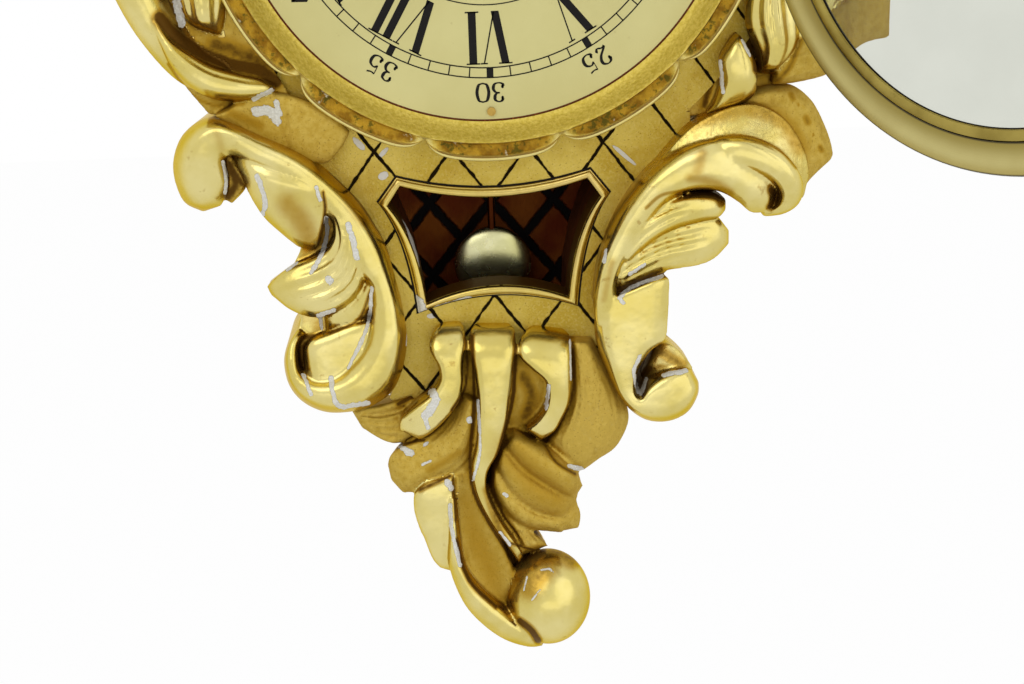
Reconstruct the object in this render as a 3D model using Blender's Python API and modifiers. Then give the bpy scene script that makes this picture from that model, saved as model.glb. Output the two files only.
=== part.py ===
"""Giltwood wall clock: carved case, dial, spring movement, pendulum and hinged glass door.

Units are metres. The dial axis is the Y axis, the wall is the plane y = 0 and the front faces -Y.
A depth is a distance from the wall, so a point at depth d has y = -d.
"""

import math

import bmesh
import bpy
from mathutils import Matrix, Vector

for old in list(bpy.data.objects):
    bpy.data.objects.remove(old)

MM = 0.001
TURN = 2 * math.pi

# Fits
GAP = 0.3 * MM

# Dial and its surround
DIAL_SIGHT_RADIUS = 98 * MM
DIAL_COVER = 6 * MM
DIAL_RADIUS = DIAL_SIGHT_RADIUS + DIAL_COVER
DIAL_THICKNESS = 1.2 * MM
DIAL_PIN_INSET = 4 * MM
DIAL_PIN_CIRCLE = DIAL_SIGHT_RADIUS - DIAL_PIN_INSET
DIAL_PIN_RADIUS = 0.9 * MM
DIAL_PIN_LENGTH = 9 * MM
COVE_WIDTH = 7 * MM
LOBE_WIDTH = 8.5 * MM
SURROUND_LIP_RADIUS = DIAL_SIGHT_RADIUS + COVE_WIDTH
SURROUND_RADIUS = SURROUND_LIP_RADIUS + LOBE_WIDTH
SURROUND_HEIGHT = 12 * MM
LOBES = 12
STEPS_PER_LOBE = 4

# Pendulum window
WINDOW_CLEARANCE = 10 * MM
WINDOW_TOP = SURROUND_RADIUS + WINDOW_CLEARANCE
WINDOW_HEIGHT = 51 * MM
WINDOW_HALF_WIDTH = 44 * MM
WINDOW_FOOT = WINDOW_TOP + WINDOW_HEIGHT
RIM_WIDTH = 3.8 * MM
RIM_HEIGHT = 2.6 * MM

# Pendulum
ANCHOR_ABOVE = 43 * MM
PENDULUM_LENGTH = 213 * MM
BOB_BELOW = PENDULUM_LENGTH - ANCHOR_ABOVE
PENDULUM_CLEARANCE = 16 * MM
ROD_RADIUS = 1.6 * MM
BOB_RADIUS = 17 * MM
BOB_THICKNESS = 9 * MM
SPRING_LENGTH = 12 * MM
SPRING_WIDTH = 5 * MM
SPRING_THICKNESS = 0.4 * MM
NUT_RADIUS = 4.5 * MM
NUT_HEIGHT = 5 * MM
ROD_END = 3 * MM
ROD_REACH = BOB_BELOW + BOB_RADIUS + GAP + NUT_HEIGHT + ROD_END

# Case
DRUM_MARGIN = 12.5 * MM
DRUM_RADIUS = SURROUND_RADIUS + DRUM_MARGIN
APRON_INSET = 7 * MM
APRON_HALF_WIDTH = WINDOW_HALF_WIDTH - APRON_INSET
APRON_MARGIN = 37.5 * MM
APRON_START = math.radians(-48)
BOARD_THICKNESS = 6 * MM
WALL_DEPTH = 41.4 * MM
WALL_THICKNESS = 6 * MM
# The apron reaches below the window and leaves room to turn the nut under the pendulum.
APRON_DROP = max(WINDOW_FOOT + APRON_MARGIN, ROD_REACH + NUT_HEIGHT + WALL_THICKNESS)
PANEL_THICKNESS = 14 * MM
OPENING_INSET = 12 * MM
MOVEMENT_OPENING_RADIUS = DIAL_SIGHT_RADIUS - OPENING_INSET

# Hands
MINUTE_HAND_INSET = 22 * MM
HOUR_HAND_INSET = 50 * MM
MINUTE_HAND_LENGTH = DIAL_SIGHT_RADIUS - MINUTE_HAND_INSET
HOUR_HAND_LENGTH = DIAL_SIGHT_RADIUS - HOUR_HAND_INSET
MINUTE_HAND_ANGLE = math.radians(60)
HOUR_HAND_ANGLE = math.radians(305)
HAND_THICKNESS = 0.9 * MM

# Door
DOOR_MARGIN = 2 * MM
DOOR_RADIUS = SURROUND_LIP_RADIUS - DOOR_MARGIN
DOOR_RING_WIDTH = 16 * MM
DOOR_SIGHT_RADIUS = DOOR_RADIUS - DOOR_RING_WIDTH
DOOR_THICKNESS = 4.7 * MM
DOOR_OPEN_ANGLE = math.radians(127)
GLASS_THICKNESS = 1.5 * MM
REBATE_WIDTH = 4 * MM
HINGE_OFFSET = 3 * MM
HINGE_LENGTH = 18 * MM
HINGE_PIN_RADIUS = 1.2 * MM
KNUCKLE_WALL = 1.2 * MM
LEAF_THICKNESS = 1.6 * MM

# Movement
PLATE_THICKNESS = 1.6 * MM
PLATE_SPACING = 18 * MM
PLATE_HALF_WIDTH = 41 * MM
PLATE_TOP = 56 * MM
PLATE_BOTTOM = 73 * MM
PLATE_CORNER = 9 * MM
MOTION_SPACE = 7.7 * MM
PILLAR_RADIUS = 3 * MM
FOOT_RADIUS = 2.2 * MM
FOOT_INSET = 6 * MM
FOOT_DROP = 14 * MM
ARBOR_RADIUS = 0.7 * MM
HEAVY_ARBOR_RADIUS = 1.2 * MM
WINDING_ARBOR_RADIUS = 2.5 * MM
WHEEL_THICKNESS = 1.2 * MM
BARREL_RADIUS = 20.5 * MM
BARREL_WALL = 1.2 * MM
BARREL_BELOW = 36.5 * MM
ESCAPE_ABOVE = 28.5 * MM
ESCAPE_RADIUS = 11 * MM
ESCAPE_TEETH = 40
RATCHET_RADIUS = 9 * MM
RATCHET_TEETH = 24
PINION_LEAVES = 6
GREAT_TEETH = 60
GREAT_SPAN = 26.4 * MM
INTERMEDIATE_TEETH = 48
INTERMEDIATE_SPAN = 18.7 * MM
CENTER_TEETH = 60
CENTER_SPAN = 16.5 * MM
THIRD_TEETH = 60
THIRD_SPAN = 14.85 * MM
CANNON_TEETH = 12
MINUTE_TEETH = 36
MINUTE_PINION = 10
HOUR_TEETH = 40
MOTION_SPAN = 14.4 * MM
CANNON_RADIUS = 2.3 * MM
HOUR_PIPE_RADIUS = 3.4 * MM

# Hanger
HANGER_INSET = 30 * MM
HANGER_ABOVE = DRUM_RADIUS - HANGER_INSET
HANGER_WIDTH = 44 * MM
HANGER_HEIGHT = 26 * MM
HANGER_THICKNESS = 1.6 * MM
HANGER_HOLE_RADIUS = 5 * MM
SCREW_RADIUS = 1.5 * MM
SCREW_HEAD_RADIUS = 3 * MM
SCREW_HEAD_HEIGHT = 1.4 * MM

# Depths from the wall that follow from the sizes above
BOARD_FRONT = BOARD_THICKNESS
WALL_BACK = BOARD_FRONT + GAP
WALL_FRONT = WALL_BACK + WALL_DEPTH
PANEL_BACK = WALL_FRONT + GAP
PANEL_FRONT = PANEL_BACK + PANEL_THICKNESS
DIAL_BACK = PANEL_FRONT + GAP
DIAL_FRONT = DIAL_BACK + DIAL_THICKNESS
FRONT_PLATE_FRONT = DIAL_BACK - MOTION_SPACE
FRONT_PLATE_BACK = FRONT_PLATE_FRONT - PLATE_THICKNESS
BACK_PLATE_FRONT = FRONT_PLATE_BACK - PLATE_SPACING
BACK_PLATE_BACK = BACK_PLATE_FRONT - PLATE_THICKNESS
PENDULUM_DEPTH = BOARD_FRONT + PENDULUM_CLEARANCE
SURROUND_FRONT = PANEL_FRONT + GAP + SURROUND_HEIGHT
DOOR_BACK = SURROUND_FRONT + 1 * MM
DOOR_FRONT = DOOR_BACK + DOOR_THICKNESS
KNUCKLE_RADIUS = HINGE_PIN_RADIUS + GAP + KNUCKLE_WALL
HINGE_X = DOOR_RADIUS + HINGE_OFFSET
HINGE_DEPTH = DOOR_FRONT + GAP + LEAF_THICKNESS / 2


def new_collection(name):
    collection = bpy.data.collections.new(name)
    bpy.context.scene.collection.children.link(collection)
    return collection


PARTS = new_collection("giltwood_wall_clock")
CUTTERS = new_collection("cutters")


def finish(name, colour, roughness, metallic):
    material = bpy.data.materials.new(name)
    material.use_nodes = True
    shader = material.node_tree.nodes["Principled BSDF"]
    shader.inputs["Base Color"].default_value = (*colour, 1)
    shader.inputs["Roughness"].default_value = roughness
    shader.inputs["Metallic"].default_value = metallic
    material.diffuse_color = (*colour, 1)
    return material


BRIGHT_GILT = finish("bright_gilt", (0.78, 0.56, 0.20), 0.35, 0.9)
MATT_GILT = finish("matt_gilt", (0.56, 0.39, 0.15), 0.55, 0.7)
DARK_WOOD = finish("dark_wood", (0.16, 0.08, 0.035), 0.7, 0.0)
CREAM_DIAL = finish("cream_dial", (0.66, 0.58, 0.30), 0.4, 0.3)
BRASS = finish("brass", (0.72, 0.54, 0.22), 0.3, 1.0)
STEEL = finish("steel", (0.42, 0.42, 0.44), 0.35, 1.0)
BLACK_STEEL = finish("black_steel", (0.03, 0.03, 0.035), 0.4, 0.6)
GLASS = finish("glass", (0.86, 0.9, 0.88), 0.05, 0.0)


# Mesh helpers


def tidy(mesh):
    """Welds loose caps and turns every face outwards."""
    work = bmesh.new()
    work.from_mesh(mesh)
    bmesh.ops.remove_doubles(work, verts=work.verts, dist=1e-7)
    bmesh.ops.recalc_face_normals(work, faces=work.faces)
    work.to_mesh(mesh)
    work.free()
    return mesh


def evaluated_mesh(drawn):
    bpy.context.view_layer.update()
    graph = bpy.context.evaluated_depsgraph_get()
    return bpy.data.meshes.new_from_object(drawn.evaluated_get(graph))


def helper(name, data):
    drawn = bpy.data.objects.new(name, data)
    drawn.hide_render = True
    drawn.display_type = "WIRE"
    CUTTERS.objects.link(drawn)
    return drawn


def flat_solid(outlines, near, far):
    """Plate between two depths; the first outline is its edge and the others are holes."""
    curve = bpy.data.curves.new("outline", "CURVE")
    curve.dimensions = "2D"
    curve.fill_mode = "BOTH"
    curve.extrude = (far - near) / 2
    for outline in outlines:
        spline = curve.splines.new("POLY")
        spline.points.add(len(outline) - 1)
        for point, (x, z) in zip(spline.points, outline):
            point.co = (x, z, 0, 1)
        spline.use_cyclic_u = True
    drawn = helper("outline", curve)
    mesh = evaluated_mesh(drawn)
    bpy.data.objects.remove(drawn)
    mesh.transform(Matrix.Translation((0, -(near + far) / 2, 0)) @ Matrix.Rotation(math.pi / 2, 4, "X"))
    return tidy(mesh)


def turned(profile, steps, axis="Y"):
    """Solid turned about the dial axis (profile of radius and depth) or about Z (radius and height)."""
    mesh = bpy.data.meshes.new("profile")
    count = len(profile)
    if axis == "Y":
        points = [(radius, -along, 0) for radius, along in profile]
    else:
        points = [(radius, 0, along) for radius, along in profile]
    mesh.from_pydata(points, [(i, (i + 1) % count) for i in range(count)], [])
    drawn = helper("profile", mesh)
    screw = drawn.modifiers.new("turn", "SCREW")
    screw.axis = axis
    screw.steps = steps
    screw.render_steps = steps
    screw.use_merge_vertices = True
    screw.merge_threshold = 1e-6
    solid = evaluated_mesh(drawn)
    bpy.data.objects.remove(drawn)
    return tidy(solid)


def block(x, depths, z):
    """Box between pairs of x, depth and z."""
    work = bmesh.new()
    bmesh.ops.create_cube(work, size=1)
    size = (x[1] - x[0], depths[1] - depths[0], z[1] - z[0])
    middle = ((x[0] + x[1]) / 2, -(depths[0] + depths[1]) / 2, (z[0] + z[1]) / 2)
    bmesh.ops.transform(work, matrix=Matrix.LocRotScale(middle, None, size), verts=work.verts)
    mesh = bpy.data.meshes.new("block")
    work.to_mesh(mesh)
    work.free()
    return mesh


def cylinder(place, depths, radius, sides=16):
    """Round bar along the depth, at the x and z of place."""
    work = bmesh.new()
    length = depths[1] - depths[0]
    bmesh.ops.create_cone(work, cap_ends=True, segments=sides, radius1=radius, radius2=radius, depth=length)
    turn = Matrix.Rotation(math.pi / 2, 4, "X")
    shift = Matrix.Translation((place[0], -(depths[0] + depths[1]) / 2, place[1]))
    bmesh.ops.transform(work, matrix=shift @ turn, verts=work.verts)
    mesh = bpy.data.meshes.new("cylinder")
    work.to_mesh(mesh)
    work.free()
    return mesh


def upright(x, depth, heights, radius, sides=16):
    """Round bar along Z."""
    work = bmesh.new()
    length = heights[1] - heights[0]
    bmesh.ops.create_cone(work, cap_ends=True, segments=sides, radius1=radius, radius2=radius, depth=length)
    bmesh.ops.translate(work, vec=(x, -depth, (heights[0] + heights[1]) / 2), verts=work.verts)
    mesh = bpy.data.meshes.new("upright")
    work.to_mesh(mesh)
    work.free()
    return mesh


def combined(operation, mesh, others):
    """The mesh joined with the others, or cut by them."""
    base = helper("base", mesh)
    tools = [helper("tool", other) for other in others]
    for tool in tools:
        boolean = base.modifiers.new("combine", "BOOLEAN")
        boolean.operation = operation
        boolean.object = tool
        boolean.solver = "MANIFOLD"
    result = evaluated_mesh(base)
    for drawn in [base, *tools]:
        bpy.data.objects.remove(drawn)
    return result


def part(name, mesh, material, parent=None):
    """A finished piece of the clock; with a parent, the mesh is given in the parent's frame."""
    mesh.name = name
    mesh.materials.clear()
    mesh.materials.append(material)
    mesh.shade_smooth()
    mesh.set_sharp_from_angle(angle=math.radians(35))
    piece = bpy.data.objects.new(name, mesh)
    PARTS.objects.link(piece)
    if parent:
        piece.parent = parent
    return piece


# Outlines


def circle(radius, centre=(0, 0), sides=24):
    angles = [TURN * i / sides for i in range(sides)]
    return [(centre[0] + radius * math.cos(a), centre[1] + radius * math.sin(a)) for a in angles]


def rounded_rectangle(left, right, low, high, radius, steps=4):
    points = []
    corners = ((right, high, 0), (left, high, 1), (left, low, 2), (right, low, 3))
    for x, z, quarter in corners:
        across = x - math.copysign(radius, x - (left + right) / 2)
        up = z - math.copysign(radius, z - (low + high) / 2)
        for i in range(steps + 1):
            angle = TURN / 4 * (quarter + i / steps)
            points.append((across + radius * math.cos(angle), up + radius * math.sin(angle)))
    return points


def cubic(a, b, c, d, steps):
    """Points on a cubic curve, without its last one."""
    points = []
    for i in range(steps):
        t = i / steps
        weights = ((1 - t) ** 3, 3 * t * (1 - t) ** 2, 3 * t**2 * (1 - t), t**3)
        points.append(sum((w * Vector(p) for w, p in zip(weights, (a, b, c, d))), Vector((0, 0))))
    return points


def through(a, b, c, steps):
    """Points on a parabola from a through b to c, without the last one."""
    points = []
    for i in range(steps):
        t = i / steps
        weights = ((1 - t) * (1 - 2 * t), 4 * t * (1 - t), t * (2 * t - 1))
        points.append(sum((w * Vector(p) for w, p in zip(weights, (a, b, c))), Vector((0, 0))))
    return points


def mirrored(right_half):
    """A closed outline from its right half, given from top to bottom."""
    left_half = [(-x, z) for x, z in reversed(right_half) if abs(x) > 1e-9]
    return [tuple(p) for p in right_half] + left_half


def case_outline(inset):
    """Drum round the dial that narrows to the apron; inset moves every edge inwards."""
    radius = DRUM_RADIUS - inset
    half = APRON_HALF_WIDTH - inset
    foot = -(APRON_DROP - inset)
    corner = half / 2
    right = []
    for i in range(17):
        angle = TURN / 4 + (APRON_START - TURN / 4) * i / 16
        right.append((radius * math.cos(angle), radius * math.sin(angle)))
    start = Vector(right.pop())
    lead = 0.24 * DRUM_RADIUS
    along = Vector((math.sin(APRON_START), -math.cos(APRON_START))) * lead
    knee = Vector((half, foot + corner + 0.42 * DRUM_RADIUS))
    end = Vector((half, foot + corner))
    right += [tuple(p) for p in cubic(start, start + along, knee, end, 8)]
    below = end - Vector((0, corner * 0.8))
    right += [tuple(p) for p in cubic(end, below, (corner * 0.9, foot), (0, foot), 5)]
    right.append((0, foot))
    return mirrored(right)


def window_outline(grow, steps=6):
    """Waisted opening with bowed top and bottom and cut upper corners."""
    top = -WINDOW_TOP
    foot = -WINDOW_FOOT
    top_corner = (0.875 * WINDOW_HALF_WIDTH + 0.35 * grow, top + grow)
    shoulder = (WINDOW_HALF_WIDTH + grow, top - 0.157 * WINDOW_HEIGHT + 0.4 * grow)
    waist = (0.79 * WINDOW_HALF_WIDTH + grow, top - 0.51 * WINDOW_HEIGHT)
    low_corner = (0.68 * WINDOW_HALF_WIDTH + grow, foot - grow)
    top_middle = top - 0.118 * WINDOW_HEIGHT + grow
    low_middle = foot + 0.127 * WINDOW_HEIGHT - grow
    top_arc = through((-top_corner[0], top_corner[1]), (0, top_middle), top_corner, 2 * steps)
    low_arc = through((-low_corner[0], low_corner[1]), (0, low_middle), low_corner, 2 * steps)
    right = [tuple(p) for p in top_arc[steps:]] + [top_corner]
    right += [tuple(p) for p in through(shoulder, waist, low_corner, steps)] + [low_corner]
    right += [tuple(p) for p in reversed(low_arc[steps:])]
    return mirrored(right)


# Case


def pin_places():
    angles = [TURN / 4 * i for i in range(4)]
    return [(DIAL_PIN_CIRCLE * math.sin(a), DIAL_PIN_CIRCLE * math.cos(a)) for a in angles]


def screw_places():
    return [(side * HANGER_WIDTH * 0.34, HANGER_ABOVE) for side in (-1, 1)]


def make_case():
    outer = case_outline(0)
    screw_holes = [circle(SCREW_RADIUS + GAP, place, 10) for place in screw_places()]
    hanger_hole = circle(HANGER_HOLE_RADIUS * 1.6, (0, HANGER_ABOVE), 16)
    part("back_board", flat_solid([outer, hanger_hole, *screw_holes], 0, BOARD_FRONT), DARK_WOOD)
    part("case_walls", flat_solid([outer, case_outline(WALL_THICKNESS)], WALL_BACK, WALL_FRONT), DARK_WOOD)
    pin_holes = [circle(DIAL_PIN_RADIUS + GAP, place, 8) for place in pin_places()]
    openings = [circle(MOVEMENT_OPENING_RADIUS, sides=48), window_outline(0), *pin_holes]
    part("front_panel", flat_solid([outer, *openings], PANEL_BACK, PANEL_FRONT), MATT_GILT)
    rim_back = PANEL_FRONT + GAP
    rim = flat_solid([window_outline(RIM_WIDTH), window_outline(0)], rim_back, rim_back + RIM_HEIGHT)
    part("window_rim", rim, BRIGHT_GILT)


def make_hanger():
    plate_back = BOARD_FRONT + GAP
    plate_front = plate_back + HANGER_THICKNESS
    half_width = HANGER_WIDTH / 2
    low = HANGER_ABOVE - HANGER_HEIGHT / 2
    edge = rounded_rectangle(-half_width, half_width, low, low + HANGER_HEIGHT, 4 * MM, 3)
    holes = [circle(SCREW_RADIUS + GAP, place, 10) for place in screw_places()]
    eye = circle(HANGER_HOLE_RADIUS, (0, HANGER_ABOVE), 20)
    part("hanger_plate", flat_solid([edge, eye, *holes], plate_back, plate_front), STEEL)
    for side, place in zip(("left", "right"), screw_places()):
        shank = cylinder(place, (GAP, plate_front + 2 * GAP), SCREW_RADIUS, 10)
        head_back = plate_front + GAP
        head = cylinder(place, (head_back, head_back + SCREW_HEAD_HEIGHT), SCREW_HEAD_RADIUS, 14)
        part(f"hanger_screw_{side}", combined("UNION", head, [shank]), STEEL)


def make_surround():
    """Cove ring with lobes: one radial section, whose outer part swells with each lobe."""
    back = PANEL_FRONT + GAP
    dial_lip = DIAL_FRONT + GAP
    notch_radius = SURROUND_LIP_RADIUS + 2.4 * MM
    step = DIAL_RADIUS + GAP
    steps = LOBES * STEPS_PER_LOBE
    work = bmesh.new()
    rings = []
    for i in range(steps):
        angle = TURN * i / steps
        swell = abs(math.cos(angle * LOBES / 2)) ** 0.45
        outer = notch_radius + (SURROUND_RADIUS - notch_radius) * swell
        reach = outer - SURROUND_LIP_RADIUS
        section = (
            (DIAL_SIGHT_RADIUS, dial_lip),
            (DIAL_SIGHT_RADIUS + 1 * MM, dial_lip + 2 * MM),
            (SURROUND_LIP_RADIUS - 1.5 * MM, SURROUND_FRONT),
            (SURROUND_LIP_RADIUS, SURROUND_FRONT),
            (SURROUND_LIP_RADIUS + 0.35 * reach, SURROUND_FRONT - 3.5 * MM * swell - 0.6 * MM),
            (SURROUND_LIP_RADIUS + 0.8 * reach, SURROUND_FRONT - 1.2 * MM),
            (outer, SURROUND_FRONT - 3.2 * MM),
            (outer, back),
            (step, back),
            (step, dial_lip),
        )
        rings.append([work.verts.new((r * math.sin(angle), -d, r * math.cos(angle))) for r, d in section])
    for first, second in zip(rings, rings[1:] + rings[:1]):
        for i in range(len(first)):
            j = (i + 1) % len(first)
            work.faces.new((first[i], first[j], second[j], second[i]))
    mesh = bpy.data.meshes.new("surround")
    work.to_mesh(mesh)
    work.free()
    part("dial_surround", tidy(mesh), MATT_GILT)


# Carvings
# Each lobe is a list of points along its spine: x, z, half width and rise above the front panel.
# They are drawn for a drum with a radius of 126 units, and a window of half width 44 with its foot at 174.5.
# The floor of a lobe is how far behind the panel's front face it starts.

DRAWN_DRUM = 126
DRAWN_HALF_WINDOW = 44
DRAWN_FOOT = 174.5
UNIT = DRUM_RADIUS / DRAWN_DRUM
LEFT_SCROLL = (
    ((-54, -141, 7, 18), (-64.5, -126, 9, 22), (-79, -110, 9, 26), (-94, -101, 8, 27), (-107, -98, 8, 26),
     (-115, -103, 8.5, 25), (-117, -112, 8.5, 23), (-114, -122, 4, 16)),
    ((-66, -118, 7, 20), (-60, -128, 8, 23), (-52, -147, 7.5, 24), (-46.5, -168, 7.5, 24),
     (-48, -186, 8.5, 24), (-56, -201, 8.5, 24), (-68, -206.5, 7.5, 23), (-80, -201, 6.5, 21),
     (-86.5, -190, 4.5, 18), (-84, -180, 3, 15)),
    ((-98, -106, 6, 19), (-87, -123, 11, 20), (-81, -136, 8, 16), (-77, -144, 2, 11)),
    ((-60, -136, 8, 20), (-66, -150, 11, 18), (-79, -160, 11, 15), (-93, -159, 2.5, 10)),
    ((-54, -158, 8, 16), (-58, -174, 10, 15), (-68, -188, 11, 18), (-80, -190, 6, 15)),
)
RIGHT_SCROLL = (
    ((50, -146, 6, 17), (57, -136, 7, 19), (68, -122, 7, 23), (84, -114.5, 7, 25), (100, -112.5, 7, 26),
     (113, -118, 7.5, 25), (117.5, -127, 7, 23), (112.5, -134.5, 5, 19), (105, -136, 2.5, 15)),
    ((76, -120, 6, 16), (92, -123, 7, 18), (104, -130, 5.5, 15)),
    ((64, -126, 6, 18), (55, -142, 7, 21), (49, -158.5, 7.5, 22), (46.5, -176, 8, 23), (48, -193, 9, 23),
     (55, -209, 9.5, 23), (66, -215.5, 7.5, 22), (75, -212.5, 6, 20), (78, -205, 3.5, 16)),
    ((58, -156, 10, 18), (57, -174, 13, 18), (56, -192, 13, 17), (61, -204, 11, 17)),
    ((50, -152, 8, 18), (68, -143.5, 13, 19), (84, -143, 12, 16), (96, -144, 3, 11)),
    ((78, -108, 8, 12), (100, -99, 9, 12), (120, -104, 9, 11), (131, -114, 6, 9), (129, -125, 3.5, 7)),
)
DROP = (
    ((-4, -179, 9, 16), (-4, -190, 9, 21), (-5, -202, 8.5, 20), (-5, -218, 7, 19), (-6, -236, 5.5, 17),
     (-7, -250, 5, 15), (-5, -264, 4.5, 15), (0, -276, 3.5, 15), (6, -287, 2, 15)),
    ((-19, -181, 6, 14), (-22, -188, 7, 19), (-21, -201, 6.5, 18), (-25, -212, 7.5, 18), (-35, -223, 7.5, 16),
     (-41, -229, 3.5, 12)),
    ((9, -181, 6, 14), (15, -190, 7, 19), (22.5, -199, 6.5, 19), (24, -210.5, 6, 18), (19.5, -222, 6.5, 17),
     (12, -229.5, 3.5, 13)),
    ((-14, -199, 9, 9), (-29, -233, 15.5, 10), (-38.5, -247, 10.5, 8), (-45, -255.5, 3.5, 6)),
    ((-24, -216, 8, 7), (-44, -223, 8.5, 7), (-62, -224, 3, 5)),
    ((26, -195, 8, 9), (40, -219, 12, 10), (38, -237, 13, 9), (32.5, -250, 4, 7)),
    ((2, -220, 8, 11), (11, -247, 13, 12), (20, -264, 13, 12), (30, -277, 3, 10)),
    ((-24, -240, 8, 8), (-32, -266, 8, 9), (-31, -284, 5, 9), (-29, -296, 2, 8)),
    ((-12, -234, 7, 12), (-18, -264, 8, 13), (-12, -286, 10, 14), (0, -308, 8, 15), (9, -319, 5, 14)),
    ((-23, -256, 3.5, 12), (-20, -288, 5, 15), (-12, -308, 6, 17), (2, -320, 6, 18), (12, -322, 4, 16)),
)
BALL = (16.5, -305.5, 17.5, 4)
LEFT_WING = (
    ((-104, -80, 7, 12), (-120, -69, 8, 15), (-131, -52, 9, 16), (-139, -30, 10, 17), (-145, -5, 11, 18),
     (-147, 20, 10, 18), (-143, 45, 9, 17), (-134, 64, 5, 13)),
    ((-86, -85, 6, 12), (-99, -78, 7, 16), (-112, -70, 7, 18), (-121, -63, 5, 17), (-128, -57, 2, 14)),
    ((-112, -54, 8, 12), (-120, -44, 9, 16), (-125, -32, 9, 18), (-126, -16, 6, 16)),
    ((-126, -2, 8, 13), (-130, 14, 9, 16), (-131, 32, 8, 16), (-126, 48, 3, 12)),
    ((-143, -6, 8, 14), (-156, 8, 7, 15), (-166, 24, 5, 13), (-169, 38, 2, 10)),
)
RIGHT_WING = (
    ((108, -80, 7, 10), (124, -68, 8, 13), (136, -48, 9, 15), (143, -20, 9, 15), (147, 6, 9, 15),
     (146, 30, 9, 15), (138, 54, 5, 12)),
    ((92, -90, 6, 11), (100, -82, 8, 15), (105, -72, 7, 15), (102, -65, 3, 13)),
    ((110, -80, 7, 11), (119, -70, 8, 15), (119, -56, 8, 15), (121, -40, 4, 13)),
    ((126, -62, 8, 10), (142, -66, 8, 11), (154, -65, 6, 11), (163, -59, 2.5, 9)),
    ((144, 8, 8, 13), (157, 21, 7, 14), (166, 36, 4.5, 12), (169, 50, 2, 10)),
    ((136, 34, 7, 13), (131, 50, 7, 14), (123, 62, 3, 11)),
)
CREST = (
    ((0, 108, 70, 9), (0, 132, 62, 12), (0, 158, 46, 14), (2, 186, 32, 15), (6, 214, 18, 14),
     (10, 232, 6, 12)),
    ((-112, 58, 6, 13), (-116, 75, 8, 17), (-110, 94, 10, 20), (-94, 112, 11, 23), (-74, 124, 11, 25),
     (-54, 134, 11, 26), (-40, 150, 10, 26), (-38, 168, 8, 25), (-47, 180, 7, 22), (-60, 177, 4, 18)),
    ((112, 58, 6, 13), (116, 75, 8, 17), (110, 94, 10, 20), (94, 112, 11, 23), (74, 124, 11, 25),
     (54, 134, 11, 26), (41, 150, 10, 26), (40, 166, 8, 25), (49, 177, 7, 22), (61, 173, 4, 18)),
    ((0, 138, 14, 20), (0, 165, 18, 24), (0, 192, 18, 27), (4, 220, 16, 27), (10, 246, 12, 25),
     (20, 266, 8, 22), (32, 284, 4, 16)),
    ((-8, 150, 10, 20), (-20, 182, 13, 23), (-30, 212, 12, 23), (-40, 238, 9, 21), (-52, 258, 4, 15)),
    ((10, 150, 10, 20), (28, 180, 13, 23), (44, 204, 12, 22), (58, 224, 8, 20), (72, 236, 4, 14)),
    ((-86, 108, 9, 14), (-106, 112, 10, 18), (-124, 122, 9, 18), (-137, 140, 4, 13)),
    ((86, 108, 9, 14), (108, 110, 10, 18), (127, 119, 9, 18), (141, 135, 4, 13)),
    ((-44, 150, 9, 16), (-64, 168, 10, 18), (-82, 190, 8, 17), (-92, 212, 3, 12)),
    ((44, 148, 9, 16), (66, 164, 10, 18), (86, 182, 8, 17), (102, 200, 3, 12)),
)
# A seam is where two carvings meet: a point on it and the direction along it.
LEFT_WING_SEAM = ((-78, -107), (-34, 19))
RIGHT_WING_SEAM = ((80, -101), (40, 17))
LEFT_DROP_SEAM = ((-40, -198), (-26, -18))
RIGHT_DROP_SEAM = ((38, -192), (19, -34))
SCROLL_FLOOR = 36
WING_FLOOR = 30
DROP_FLOOR = 32
# A lobe's floor comes forward towards its tip, where this share of it is left.
TIP_FLOOR = 0.3
# Cross-section of a lobe from edge to edge: share of the half width, and share of the rise.
LOBE_SECTION = ((-1, 0.3), (-0.55, 0.92), (0.55, 0.92), (1, 0.3))
BACK_WIDTH = 0.65
# A spine of few points is given points halfway between them.
SHORT_SPINE = 5


def spline(points):
    """Points on a smooth curve through the given ones."""
    ends = [points[0], *points, points[-1]]
    steps = 2 if len(points) <= SHORT_SPINE else 1
    rows = []
    for a, b, c, d in zip(ends, ends[1:], ends[2:], ends[3:]):
        for i in range(steps):
            t = i / steps
            row = []
            for p, q, r, s in zip(a, b, c, d):
                bend = 2 * p - 5 * q + 4 * r - s + t * (3 * (q - r) + s - p)
                row.append(q + 0.5 * t * (r - p + t * bend))
            rows.append(row)
    return rows + [list(points[-1])]


def site(x, z):
    """Where a drawn point lies: beside the drum it spreads with the drum, and below it with the window."""
    inner = min(abs(x), DRAWN_HALF_WINDOW)
    narrow = inner * WINDOW_HALF_WIDTH / DRAWN_HALF_WINDOW + (abs(x) - inner) * UNIT
    share = min(max((z + 150) / 60, 0), 1)
    across = share * abs(x) * UNIT + (1 - share) * narrow
    if z > -DRAWN_DRUM:
        return (math.copysign(across, x), z * UNIT)
    if z < -DRAWN_FOOT:
        return (math.copysign(across, x), (z + DRAWN_FOOT) * UNIT - WINDOW_FOOT)
    part_way = (z + DRAWN_DRUM) / (DRAWN_DRUM - DRAWN_FOOT)
    return (math.copysign(across, x), -DRUM_RADIUS - part_way * (WINDOW_FOOT - DRUM_RADIUS))


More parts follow.
